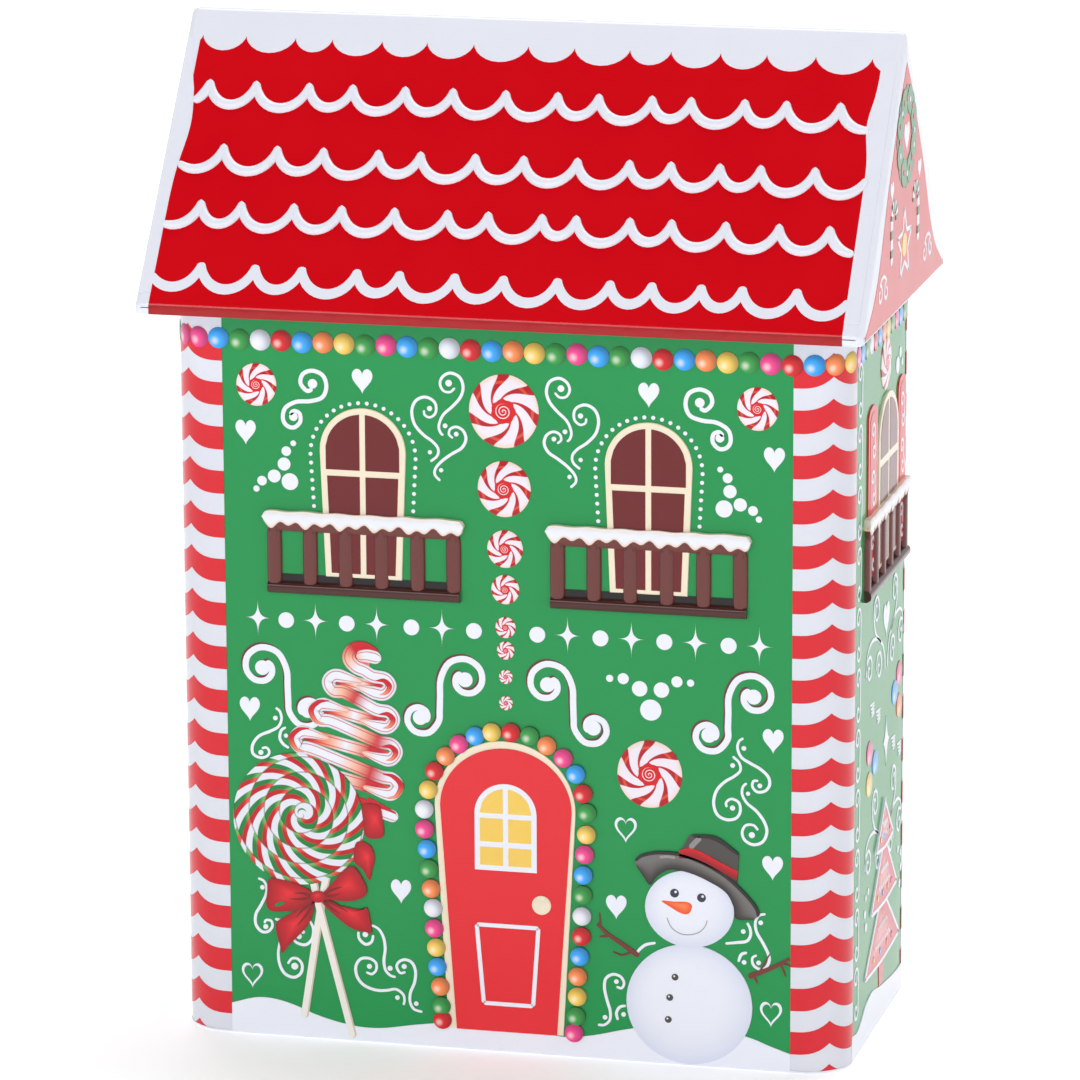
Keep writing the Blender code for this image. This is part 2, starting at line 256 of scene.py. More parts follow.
class Form:
    """Closed shapes gathered for one piece, with an ink and a pattern place at every point."""

    def __init__(self, *places):
        self.places = places
        self.points = []
        self.faces = []
        self.inks = []
        self.grain = []
        self.count = 0

    def loft(self, rings, ink, grain=None, joined=False):
        """Skins rows of points (ring, point, (across, up, out)) into a closed shape.

        Corner (i, j) is joined to (i + 1, j) and (i, j + 1), counting on round each ring. A row
        of rings ends in a fan to the middle of its first and its last ring, or joins up.
        """
        rows, columns = rings.shape[:2]
        index = np.arange(rows * columns).reshape(rows, columns)
        low = index if joined else index[:-1]
        high = np.roll(index, -1, 0)[: len(low)]
        low_next = np.roll(low, -1, 1)
        high_next = np.roll(high, -1, 1)
        faces = [np.stack((low, high, high_next), -1), np.stack((low, high_next, low_next), -1)]
        points = rings.reshape(-1, 3)
        inks = np.broadcast_to(ink, (rows, columns, 3)).reshape(-1, 3)
        if grain is None:
            grain = rings[..., :2]
        grain = grain.reshape(-1, 2)
        if not joined:
            ends = ((index[0], 1), (index[-1], -1))
            for number, (ring, turn) in enumerate(ends):
                pole = np.full(columns, rows * columns + number)
                after = np.roll(ring, -1)
                faces.append(np.stack((pole, ring, after)[::turn], -1))
                points = np.vstack((points, points[ring].mean(0)))
                grain = np.vstack((grain, grain[ring].mean(0)))
                inks = np.vstack((inks, inks[ring].mean(0)))
        faces = np.vstack([f.reshape(-1, 3) for f in faces])
        for place in self.places:
            placed = place(points[:, 0], points[:, 1], points[:, 2])
            a, b, c = (placed[faces[:, k]] - placed[0] for k in range(3))
            volume = np.einsum("ij,ij->", a, np.cross(b, c))
            self.faces.append((faces if volume > 0 else faces[:, ::-1]) + self.count)
            self.points.append(placed)
            self.inks.append(inks)
            self.grain.append(grain)
            self.count += len(placed)

    def plate(self, outline, top, ink, crown=0.0, bevel=0.0):
        """A plate with a straight or bevelled edge. Each ring is the outline drawn in to a share
        of its size about its middle; over the crown it is at top + crown * (1 - share^2). Its
        pattern place is the way from the middle over half the plate's longer side."""
        middle = outline.mean(0)
        half = np.ptp(outline, axis=0).max() / 2
        shares = [1.0, 1.0]
        heights = [-SUNK, top - bevel]
        if bevel:
            shares += [1 - 0.3 * bevel / half, 1 - bevel / half]
            heights += [top - 0.3 * bevel, top]
        if crown:
            inner = np.array((0.96, 0.86, 0.7, 0.45, 0.15))
            shares += list(inner)
            heights += list(top + crown * (1 - inner ** 2))
        shares = np.array(shares)[:, None, None]
        offset = (outline - middle)[None] * shares
        rings = np.concatenate((
            middle + offset,
            np.broadcast_to(np.array(heights)[:, None, None], (len(heights), len(outline), 1)),
        ), -1)
        self.loft(rings, ink, offset / half)

    def glow(self, outline, middle, top, inks):
        """A flat fill whose ink runs from the outline in to a middle point: each ring is
        middle + (outline - middle) * share."""
        shares = np.concatenate(([1], np.linspace(1, 0.06, 7)))
        heights = np.full(len(shares), top)
        heights[0] = -SUNK
        middle = np.array(middle)
        flat = middle + (outline - middle) * shares[:, None, None]
        out = np.broadcast_to(heights[:, None, None], (*flat.shape[:2], 1))
        self.loft(np.concatenate((flat, out), -1), fade(inks, 1 - shares)[:, None])

    def strip(self, first, second, top, inks):
        """A flat fill between two edges of as many points: first + (second - first) * share. Its
        inks are spread across it."""
        shares = np.array((0, 0, 0.25, 0.5, 0.75, 1, 1))
        first, second = np.asarray(first, dtype=float), np.asarray(second, dtype=float)
        flat = first[:, None] + (second - first)[:, None] * shares[:, None]
        heights = np.full(len(shares), top)
        heights[[0, -1]] = -SUNK
        out = np.broadcast_to(heights[:, None], (*flat.shape[:2], 1))
        self.loft(np.concatenate((flat, out), -1), fade(inks, shares))

    def outline(self, points, width, top, ink):
        """A line of one width round a closed outline: points lie half the width to either side
        along the normal, which is the neighbours' difference turned a quarter."""
        slant = np.roll(points, -1, 0) - np.roll(points, 1, 0)
        slant /= np.hypot(*slant.T)[:, None]
        normal = np.stack((-slant[:, 1], slant[:, 0]), -1) * width / 2
        across = np.array((-1, -1, 1, 1))
        flat = points[:, None] + normal[:, None] * across[:, None]
        out = np.broadcast_to(np.array((-SUNK, top, top, -SUNK))[:, None], (*flat.shape[:2], 1))
        self.loft(np.concatenate((flat, out), -1), ink, joined=True)

    def stroke(self, path, width, top, ink, crown=0.0, blunt=False):
        """A line drawn along a path. At each step, points lie half the width to either side along
        the path's normal. Near a round end the half width is that of a circle. The width may be
        a list, spread evenly along the path, and so may the ink. A crown swells the line by
        crown * sqrt(1 - across^2). Its pattern place is (way along, way across)."""
        steps = np.hypot(*np.diff(path, axis=0).T)
        way = np.concatenate(([0], np.cumsum(steps)))
        widths = np.atleast_1d(np.asarray(width, dtype=float))
        first, last = widths[0] / 2, widths[-1] / 2
        lean = 1 - np.cos(np.linspace(0, np.pi / 2, 5))
        stations = np.concatenate((first * lean, way[1:-1], way[-1] - last * lean))
        stations = np.unique(np.round(np.clip(stations, 0, way[-1]), 3))
        if blunt:
            stations = way
        centre = np.stack([np.interp(stations, way, path[:, k]) for k in (0, 1)], -1)
        half = np.interp(stations / way[-1], np.linspace(0, 1, len(widths)), widths / 2)
        if not blunt:
            for gap, end in ((stations, first), (way[-1] - stations, last)):
                near = np.clip(gap / end, 0.02, 1)
                half = half * np.sqrt(1 - (1 - near) ** 2)
        slant = np.stack([np.gradient(centre[:, k], stations) for k in (0, 1)], -1)
        slant /= np.hypot(*slant.T)[:, None] + 1e-9
        normal = np.stack((-slant[:, 1], slant[:, 0]), -1)
        if crown:
            across = np.array((-1, -1, -0.8, -0.4, 0, 0.4, 0.8, 1, 1))
        else:
            across = np.array((-1, -1, 1, 1))
        rise = top + crown * np.sqrt(np.clip(1 - across ** 2, 0, 1))
        rise[[0, -1]] = -SUNK
        flat = centre[:, None] + normal[:, None] * (half[:, None] * across)[..., None]
        out = np.broadcast_to(rise, flat.shape[:2])
        grain = np.stack((
            np.broadcast_to(stations[:, None], flat.shape[:2]),
            np.broadcast_to(across, flat.shape[:2]),
        ), -1)
        if np.ndim(ink) == 2:
            ink = fade(ink, stations / way[-1])[:, None]
        self.loft(np.concatenate((flat, out[..., None]), -1), ink, grain)

    def band(self, x, lower, upper, profile, ink, upright=False):
        """A strip between two edges, given as heights at each x. The profile lists shares of the
        way from the lower edge to the upper one, and how far the strip stands out there. An
        upright band runs up the drawing, with x and the heights changed over."""
        shares, outs = np.array(profile, dtype=float).T
        lower = np.broadcast_to(lower, x.shape)[:, None]
        upper = np.broadcast_to(upper, x.shape)[:, None]
        y = lower + (upper - lower) * shares
        x = np.broadcast_to(x[:, None], y.shape)
        out = np.broadcast_to(outs, y.shape)
        flat = (y, x) if upright else (x, y)
        grain = np.stack((x, np.broadcast_to(shares, y.shape)), -1)
        self.loft(np.stack((*flat, out), -1), ink, grain)

    def piece(self, name, material, record_slot, sharp=34):
        """Puts the gathered shapes into one mesh object at the origin, riding on the tin."""
        points = np.vstack(self.points) * MM
        faces = np.vstack(self.faces)
        mesh = bpy.data.meshes.new(name)
        mesh.vertices.add(len(points))
        mesh.loops.add(faces.size)
        mesh.polygons.add(len(faces))
        mesh.vertices.foreach_set("co", points.ravel())
        mesh.loops.foreach_set("vertex_index", faces.ravel())
        mesh.polygons.foreach_set("loop_start", np.arange(0, faces.size, 3))
        mesh.update(calc_edges=True)
        inks = mesh.color_attributes.new("Ink", "FLOAT_COLOR", "POINT")
        rows = np.vstack(self.inks)
        inks.data.foreach_set("color", np.column_stack((rows, np.ones(len(rows)))).ravel())
        pattern = mesh.uv_layers.new(name="Pattern")
        pattern.data.foreach_set("uv", np.vstack(self.grain)[faces.ravel()].ravel())
        mesh.materials.append(material)
        mesh.shade_smooth()
        mesh.set_sharp_from_angle(angle=math.radians(sharp))
        obj = bpy.data.objects.new(name, mesh)
        bpy.context.scene.collection.objects.link(obj)
        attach(obj, "root")
        return obj


def fade(inks, shares):
    """Inks spread evenly from share 0 to share 1, read at each share."""
    inks = np.atleast_2d(inks)
    stops = np.linspace(0, 1, len(inks))
    return np.stack([np.interp(shares, stops, inks[:, part]) for part in range(3)], -1)


def flat(top):
    """The profile of a flat strip: straight edges from below the metal up to top."""
    return ((0, -SUNK), (0, top), (1, top), (1, -SUNK))


def cushioned(top, crown):
    """The profile of a swelling strip: top + crown * sqrt(1 - (2 share - 1)^2)."""
    shares = np.linspace(0, 1, 7)
    outs = top + crown * np.sqrt(1 - (2 * shares - 1) ** 2)
    return ((0, -SUNK), *zip(shares, outs), (1, -SUNK))


# Finishes


class Value:
    """A shader socket that takes Python arithmetic. Each sign adds one Math node."""

    def __init__(self, finish, socket):
        self.finish = finish
        self.socket = socket

    def math(self, operation, *others):
        return self.finish.node(
            "ShaderNodeMath", {"operation": operation}, dict(enumerate((self, *others)))
        )

    def __add__(self, other):
        return self.math("ADD", other)

    __radd__ = __add__

    def __sub__(self, other):
        return self.math("SUBTRACT", other)

    def __rsub__(self, other):
        return (self * -1).math("ADD", other)

    def __mul__(self, other):
        return self.math("MULTIPLY", other)

    __rmul__ = __mul__

    def __truediv__(self, other):
        return self.math("DIVIDE", other)

    def __pow__(self, other):
        return self.math("POWER", other)


class Finish:
    """A material, with its shader and the nodes that feed it."""

    def __init__(self, name):
        self.material = bpy.data.materials.new(name)
        self.material.use_nodes = True
        self.nodes = self.material.node_tree.nodes
        self.shader = self.nodes["Principled BSDF"]

    def node(self, kind, settings=None, inputs=None, output=0):
        """Adds a node, sets its settings, then its inputs, and returns one of its outputs."""
        node = self.nodes.new(kind)
        for name, setting in (settings or {}).items():
            setattr(node, name, setting)
        for name, value in (inputs or {}).items():
            self.feed(node.inputs[name], value)
        return Value(self, node.outputs[output])

    def feed(self, socket, value):
        """Links a shader value to a socket, or sets a plain one."""
        if isinstance(value, Value):
            self.material.node_tree.links.new(value.socket, socket)
        elif socket.type == "RGBA" and len(value) == 3:
            socket.default_value = (*value, 1)
        else:
            socket.default_value = value

    def set(self, **inputs):
        """Feeds the shader's own sockets, named with underscores for spaces."""
        for name, value in inputs.items():
            self.feed(self.shader.inputs[name.replace("_", " ")], value)

    def mix(self, factor, a, b):
        """A Mix node on colours: a where the factor is 0 and b where it is 1."""
        return self.node(
            "ShaderNodeMix", {"data_type": "RGBA"}, {"Factor": factor, 6: a, 7: b}, output=2,
        )

    def scaled(self, colour, factor):
        """A colour, darkened or lightened by a factor."""
        return self.node(
            "ShaderNodeVectorMath", {"operation": "SCALE"}, {0: colour, "Scale": factor}
        )

    def noise(self, scale, detail=2.0):
        """Noise from 0 to 1 on the object's own coordinates, scale in cycles a metre."""
        where = self.node("ShaderNodeTexCoord", output="Object")
        return self.node(
            "ShaderNodeTexNoise", None, {"Vector": where, "Scale": scale, "Detail": detail}
        )

    def far(self, x, y, from_x=0.0, from_y=0.0):
        """How far the pattern place is from a point: the root of the sum of squares."""
        x, y = x - from_x, y - from_y
        return (x * x + y * y).math("SQRT")

    def blend(self, value, low, high, out_low=0.0, out_high=1.0):
        """Runs smoothly from out_low at low to out_high at high, and is level outside."""
        return self.node(
            "ShaderNodeMapRange", {"interpolation_type": "SMOOTHSTEP"},
            {"Value": value, "From Min": low, "From Max": high, "To Min": out_low, "To Max": out_high},
        )

    def ink(self):
        """The ink printed at each point."""
        return self.node("ShaderNodeAttribute", {"attribute_name": "Ink"}, output="Color")

    def pattern(self):
        """The two pattern coordinates."""
        where = self.node("ShaderNodeUVMap", {"uv_map": "Pattern"})
        parts = self.node("ShaderNodeSeparateXYZ", None, {0: where})
        return parts, Value(self, parts.socket.node.outputs[1])

    def lacquered(self, colour):
        """Ink under clear lacquer: a print grain in the colour, a rougher ink layer, a smooth
        coat, and the coat's shallow waves as a bump."""
        grain = self.noise(2600, 3)
        cloud = self.noise(55, 3)
        tone = 1 + (grain - 0.5) * 0.05 + (cloud - 0.5) * 0.05
        waves = self.noise(150, 1)
        bump = self.node(
            "ShaderNodeBump", None, {"Distance": 0.02 * MM, "Strength": 0.5, "Height": waves},
        )
        self.set(
            Base_Color=self.scaled(colour, tone),
            Roughness=0.3 + cloud * 0.12,
            Specular_IOR_Level=0.12,
            Coat_Weight=0.7,
            Coat_Roughness=0.045,
            Coat_IOR=1.5,
            Normal=bump,
        )
        return self.material


def linear(colour):
    """Linear light from screen colours: ((c + 0.055) / 1.055)^2.4."""
    colour = np.array(colour[:3])
    return np.where(colour < 0.0404, colour / 12.92, ((colour + 0.055) / 1.055) ** 2.4)


def print_finish():
    """Flat ink under lacquer, from each point's own ink."""
    if "lacquered_print" in bpy.data.materials:
        return bpy.data.materials["lacquered_print"]
    finish = Finish("lacquered_print")
    return finish.lacquered(finish.ink())


def bead_finish():
    """Printed sugar beads: each darkens towards its upper right rim and has a soft shine down
    on its left."""
    finish = Finish("printed_beads")
    x, y = finish.pattern()
    rim = finish.far(x, y, -0.3, -0.25)
    shade = finish.blend(rim, 1.35, 0.3, 0.5, 1.08)
    shine = finish.blend(finish.far(x, y, -0.36, -0.28), 0.55, 0.02)
    colour = finish.scaled(finish.ink(), shade)
    return finish.lacquered(finish.mix(shine * 0.6, colour, (1.0, 0.93, 0.85)))


MINT_ARMS = 7


def mint_finish():
    """Peppermint swirl in seven arms. With the way out from the middle as 0 to 1, an arm leans
    over by 2.1 * (1 - way)^1.7 radians and thins inwards, and runs into a red disc that carries
    a white spiral line. Each arm has an orange bar, and the pale body warms towards the rim."""
    finish = Finish("peppermint_swirl")
    x, y = finish.pattern()
    way = finish.far(x, y)
    angle = y.math("ARCTAN2", x) - math.pi / 2
    lean = (1 - way) ** 1.7 * 2.1
    turns = (angle - lean) * (MINT_ARMS / TAU) + (MINT_ARMS + 0.5)
    off = (turns.math("FRACT") - 0.5).math("ABSOLUTE") * (TAU / MINT_ARMS)
    half = finish.blend(way, 0.34, 0.8, 0.09, 0.165) + finish.blend(way, 0.36, 0.29, 0.0, 0.5)
    arm = finish.blend((off - half) * way, 0.012, -0.012)
    bar = finish.blend((way - 0.79).math("ABSOLUTE"), 0.05, 0.025)
    coil = (angle / TAU + way * 11).math("FRACT")
    thread = finish.blend((coil - 0.5).math("ABSOLUTE"), 0.17, 0.11)
    thread = thread * finish.blend(way, 0.225, 0.205)
    rim = finish.blend(way, 0.8, 1.0)
    body = finish.mix(rim, linear((0.94, 0.91, 0.95)), linear((0.96, 0.84, 0.8)))
    red = finish.mix(finish.blend(way, 0.35, 0.6), linear((0.84, 0.0, 0.06)), linear((0.72, 0.0, 0.1)))
    red = finish.mix(bar * 0.8, red, linear((0.9, 0.33, 0.18)))
    colour = finish.mix(arm.math("MAXIMUM", finish.blend(way, 0.3, 0.28)), body, red)
    return finish.lacquered(finish.mix(thread, colour, linear((0.97, 0.9, 0.92))))


# Widths of the lollipop's rope from its middle to its rim
WINDINGS = 4.3


def lollipop_finish():
    """A candy rope wound outwards: the way out / rope width plus the angle has the winding as its
    whole part and the way across the rope as its rest. Along the rope the way grows as the square
    of the turns, and stripes of white, red and green cross it on a slant, but for its bare start
    in the middle. A fine shadow lies where windings meet."""
    finish = Finish("wound_candy")
    x, y = finish.pattern()
    x, y = x - 0.06, y - 0.08
    way = finish.far(x, y) * WINDINGS
    angle = y.math("ARCTAN2", x) / TAU
    winding = way + angle
    across = winding.math("FRACT")
    turns = winding.math("FLOOR") + 0.5 - angle
    stripe = (turns * turns * 1.976 + across * 0.8).math("FRACT")
    red = finish.blend((stripe - 0.2).math("ABSOLUTE"), 0.18, 0.15)
    green = finish.blend((stripe - 0.48).math("ABSOLUTE"), 0.165, 0.135)
    inked = finish.blend(way, 0.24, 0.32)
    red, green = red * inked, green * inked
    glow = finish.blend(across, 0.4, 0.0)
    body = linear((0.9, 0.91, 0.95))
    red_ink = finish.mix(glow, linear((0.76, 0.0, 0.08)), linear((0.93, 0.36, 0.27)))
    green_ink = finish.mix(glow, linear((0.0, 0.5, 0.2)), linear((0.5, 0.74, 0.4)))
    colour = finish.mix(green, finish.mix(red, body, red_ink), green_ink)
    seam = finish.blend((across - 0.5).math("ABSOLUTE"), 0.42, 0.5)
    return finish.lacquered(finish.scaled(colour, 1 - seam * 0.55))


def ribbon_finish():
    """Ribbon candy: the ink at each point, with a fine red line near each edge and edges in
    shade."""
    finish = Finish("ribbon_candy")
    _, across = finish.pattern()
    side = across.math("ABSOLUTE")
    line = finish.blend((side - 0.62).math("ABSOLUTE"), 0.12, 0.05)
    body = finish.mix(line * 0.75, finish.ink(), linear((0.78, 0.16, 0.22)))
    edge = finish.blend(side, 0.7, 1.0)
    return finish.lacquered(finish.scaled(body, 1 - edge * 0.22))


# User settings


def colour_property(name, description, default):
    """An ink that a user can change, as a screen colour."""
    return FloatVectorProperty(
        name=name, description=description, default=default, subtype="COLOR_GAMMA", size=3,
        min=0.0, max=1.0,
    )


def size_property(name, description, default):
    """A size that a user can change, given here in millimetres and kept in metres."""
    return FloatProperty(
        name=name, description=description, default=default * MM, unit="LENGTH",
    )


class TinInks(PropertyGroup):
    """Printing inks, as screen colours."""

    green: colour_property("Wall green", "Ink of the walls", (0.0, 0.57, 0.28))
    red: colour_property("Roof red", "Ink of the roof", (0.84, 0.0, 0.07))
    stripe: colour_property("Stripe red", "Ink of the corner stripes", (0.86, 0.06, 0.14))
    white: colour_property("Icing white", "Ink of icing and snow", (0.93, 0.94, 0.98))
    cream: colour_property("Cream", "Ink of the window and door frames", (0.95, 0.9, 0.8))
    brown: colour_property("Chocolate", "Ink of the balconies", (0.42, 0.2, 0.18))
    dark: colour_property("Dark", "Ink of the gaps behind the posts", (0.06, 0.02, 0.02))
    pane: colour_property("Pane", "Ink of the window panes", (0.42, 0.06, 0.07))
    door: colour_property("Door red", "Ink of the door", (0.9, 0.13, 0.17))
    pink: colour_property("Pink", "Bead ink", (0.95, 0.26, 0.57))
    blue: colour_property("Blue", "Bead ink", (0.2, 0.66, 0.98))
    leaf: colour_property("Leaf", "Bead ink", (0.2, 0.62, 0.27))
    pearl: colour_property("Pearl", "Bead ink", (0.9, 0.91, 0.95))
    ruby: colour_property("Ruby", "Bead ink", (0.86, 0.07, 0.12))
    orange: colour_property("Orange", "Bead ink", (0.98, 0.55, 0.3))
    yellow: colour_property("Yellow", "Bead ink", (0.96, 0.8, 0.36))


class TinSizes(PropertyGroup):
    """Sizes of the raised work."""

    rail_rise: size_property("Rail rise", "How far the balcony rails stand out", 1.5)
    post_rise: size_property("Post rise", "How far the balcony posts stand out", 1.1)
    frame_rise: size_property("Frame rise", "How far windows and the door stand out", 0.5)
    mint_rise: size_property("Peppermint rise", "How far the large peppermints stand out", 0.6)
    icing_rise: size_property("Icing rise", "How far the raised icing rows stand off the roof", 0.6)


class Inks:
    """The inks of the scene's settings, as linear colours by name."""

    def __init__(self, context):
        self.group = context.scene.tin_inks

    def __getattr__(self, name):
        return linear(getattr(self.group, name))


BODY_SLOT = "printed_green_tinplate"
LID_SLOT = "printed_red_tinplate"


# The box


# The foot's curl below this height isn't printed green, and print starts above PRINT_FOOT.
FOOT_LINE = 0.9
PRINT_FOOT = 0.7


class TIN_OT_box(Operator):
    """Build the box's shell, with its curled foot"""

    bl_idname = "tin.box"
    bl_label = "Box shell"

    def execute(self, context):
        ink = Inks(context)
        turn = np.linspace(0, ARC, 11)[1:-1]
        along = np.concatenate([
            np.concatenate((np.linspace(middle - half, middle + half, 9), middle + half + turn))
            for middle, half in zip(WALL_MIDDLES, FLATS)
        ])
        section = np.array((
            (-2.2, 1.6), (-2.2, 0.5), (-1.9, 0.12), (-1.3, 0.0), (-0.6, 0.0), (-0.25, 0.12),
            (0.0, 0.6), (0.0, 1.1), (0.0, 40.0), (0.0, 80.0), (0.0, 120.0),
            (0.0, BOX_TOP - 0.4), (-0.4, BOX_TOP),
        ))
        out, up = section[:, :1], section[:, 1:]
        rings = np.stack(np.broadcast_arrays(along, up, out), -1)
        form = Form(round_box)
        inks = np.where(up < FOOT_LINE, ink.white, ink.green)[:, None]
        form.loft(rings, inks)
        shell = form.piece("box_shell", print_finish(), BODY_SLOT)
        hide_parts("tin_body")
        return {"FINISHED"}


STRIPE_PITCH = 9.21
STRIPE_HEIGHT = 4.75
STRIPE_FOOT = 4.2
STRIPE_CUSP = 2.3
PANEL_EDGE = 59.0
PANEL_WIDTH = 16.2
PANEL_TOP = 154.5
PANEL_SHADE = 0.86


class TIN_OT_corners(Operator):
    """Print the white corner panels with their scalloped red stripes"""

    bl_idname = "tin.corners"
    bl_label = "Corner stripes"

    def execute(self, context):
        ink = Inks(context)
        form = Form(*(on_wall(n, mirrored) for n in (0, 2) for mirrored in (False, True)))
        x = PANEL_EDGE + PANEL_WIDTH * np.linspace(0, 1, 29)
        form.band(x, PRINT_FOOT, PANEL_TOP, flat(LAYER), ink.white * PANEL_SHADE)
        inset = np.minimum(x - PANEL_EDGE, PANEL_EDGE + PANEL_WIDTH - x) / (PANEL_WIDTH / 2)
        rise = STRIPE_CUSP * inset ** 3
        for number in range(-1, 17):
            low = STRIPE_FOOT + STRIPE_PITCH * number + rise
            high = np.minimum(low + STRIPE_HEIGHT, PANEL_TOP)
            low = np.maximum(low, PRINT_FOOT)
            if np.all(high <= low + 0.05):
                continue
            high = np.maximum(high, low)
            form.band(x, low, high, flat(2 * LAYER), ink.stripe)
        form.piece("corner_stripes", print_finish(), BODY_SLOT)
        return {"FINISHED"}


class TIN_OT_snow(Operator):
    """Print the snow bank round the foot of the walls"""

    bl_idname = "tin.snow"
    bl_label = "Snow bank"

    def execute(self, context):
        ink = Inks(context)
        line = (
            (-59, 6.6), (-53, 8.2), (-47, 7.5), (-40, 5), (-33, 3.5), (-27, 3.4), (-20, 4.6),
            (-12, 5.8), (-7, 6.3), (0, 5.3), (8, 4.8), (12, 4.4), (18, 5.2), (25, 7), (32, 8.2),
            (42, 8.4), (50, 7.2), (55, 5.5), (59, 4.2),
        )
        side = (
            (-26.5, 6), (-20, 5.5), (-12, 8.5), (-5, 9.2), (2, 8), (10, 7), (20, 6), (26.5, 6),
        )
        form = Form()
        for walls, points in ((FRONT_WALLS, line), (SIDE_WALLS, side)):
            form.places = walls
            x, top = smooth(points, 5).T
            form.band(x, PRINT_FOOT, top, flat(3 * LAYER), ink.white)
        form.piece("snow_bank", print_finish(), BODY_SLOT)
        return {"FINISHED"}


# The middle of each window, its foot, where its arch springs, its top, and how far its panes
# reach from its middle
WINDOWS = (-29.6, 29.6)
WINDOW_FOOT = 98.7
WINDOW_SPRING = 125.0
WINDOW_TOP = 134.0
PANE_REACH = (0.6, 7.7)


class TIN_OT_windows(Operator):
    """Build the arched windows of the front and back walls"""

    bl_idname = "tin.windows"
    bl_label = "Windows"

    def execute(self, context):
        ink = Inks(context)
        rise = context.scene.tin_sizes.frame_rise / MM
        form = Form(*FRONT_WALLS)
        for centre in WINDOWS:
            surround = arch(centre, 18.0, 16.0, WINDOW_FOOT, WINDOW_SPRING, WINDOW_TOP)
            form.plate(surround, rise, ink.cream, bevel=0.25)
            glass = rise + LAYER
            near, far = PANE_REACH
            for side in (-1, 1):
                x = np.linspace(near, far - 0.01, 14)
                over = WINDOW_SPRING + far * np.sqrt(1 - (x / 7.75) ** 2)
                form.band(centre + side * x, 121.1, over, flat(glass), ink.pane)
                pane = np.array(((near, 99.6), (6.7, 99.6), (7.45, 119.8), (near, 119.8)))
                form.plate(pane * (side, 1) + (centre, 0), glass, ink.pane)
        form.piece("windows", print_finish(), BODY_SLOT)
        return {"FINISHED"}


# Balconies: the width and the span of the posts, with the middle of the side one, and heights
BALCONY = (42.3, 37.6)
SIDE_BALCONY = (4.2, 44.0, 39.0)
RAIL_TOP = 112.0
RAIL_LOW = 109.3
BEAM_LOW = 107.8
SILL = (94.8, 97.2)
POSTS = 6
POST_EDGE = 0.35


def balcony(icing, wood, centre, width, span, ink, sizes):
    """One balcony: an iced rail whose lower edge is two sine waves and whose ends are rounded by
    sqrt(1 - (x / half width)^40), a beam, half-round posts over the span, a sill and dark gaps."""
    rail_rise = sizes.rail_rise / MM
    post_rise = sizes.post_rise / MM
    x = np.linspace(-width / 2, width / 2, 90)
    end = np.sqrt(np.clip(1 - (np.abs(x) / (width / 2)) ** 40, 0, 1))
    drip = 0.5 * np.sin(x * 1.75 + 0.6) + 0.35 * np.sin(x * 0.83 + 2.0)
    low = RAIL_LOW - 0.1 + drip
    high = RAIL_TOP + 0.1 * np.sin(x * 0.9)
    middle = (low + high) / 2
    low = middle + (low - middle) * end
    high = middle + (high - middle) * end
    profile = cushioned(rail_rise * 0.8, rail_rise * 0.2)
    shades = (linear((0.9, 0.78, 0.68)), ink.white, ink.white, ink.white, linear((0.95, 0.88, 0.82)))
    icing.band(centre + x, low, high, profile, fade(shades, [share for share, _ in profile]))
    ends = np.linspace(-width / 2 + 1.2, width / 2 - 1.2, 3)
    wood.band(centre + ends, BEAM_LOW, RAIL_TOP - 1, cushioned(0.5, 0.55), ink.brown)
    wood.band(
        centre + np.linspace(-width / 2 + 1.0, width / 2 - 1.0, 3), *SILL,
        cushioned(0.6, rail_rise - 0.6), ink.brown * 0.45,
    )
    wood.band(
        centre + np.linspace(-width / 2 + 1.6, width / 2 - 1.6, 3), 96.8, 98.8, flat(2 * LAYER),
        ink.dark,
    )
    for number in range(POSTS):
        post = centre + span * (number / (POSTS - 1) - 0.5)
        path = np.stack((np.full(8, post), np.linspace(109.0, 95.9, 8)), -1)
        wood.stroke(path, (3.0, 3.1, 3.0), POST_EDGE, ink.brown, crown=post_rise - POST_EDGE)
        wood.stroke(
            np.array(((post - 0.8, 107.9), (post + 0.8, 107.7))), 0.7, post_rise - 0.1, ink.dark * 2,
        )


class TIN_OT_balconies(Operator):
    """Build the balconies of all four walls"""

    bl_idname = "tin.balconies"
    bl_label = "Balconies"

    def execute(self, context):
        ink = Inks(context)
        sizes = context.scene.tin_sizes
        icing = Form(*FRONT_WALLS)
        wood = Form(*FRONT_WALLS)
        for centre in WINDOWS:
            balcony(icing, wood, centre, *BALCONY, ink, sizes)
        icing.places = wood.places = SIDE_WALLS
        balcony(icing, wood, *SIDE_BALCONY, ink, sizes)
        icing.piece("balcony_icing", print_finish(), BODY_SLOT, sharp=50)
        wood.piece("balcony_wood", print_finish(), BODY_SLOT, sharp=50)
        return {"FINISHED"}


DOOR_MIDDLE = -0.2
DOOR_FOOT = 4.6
DOOR_SPRING = 52.0
LIGHT_SPRING = 51.0


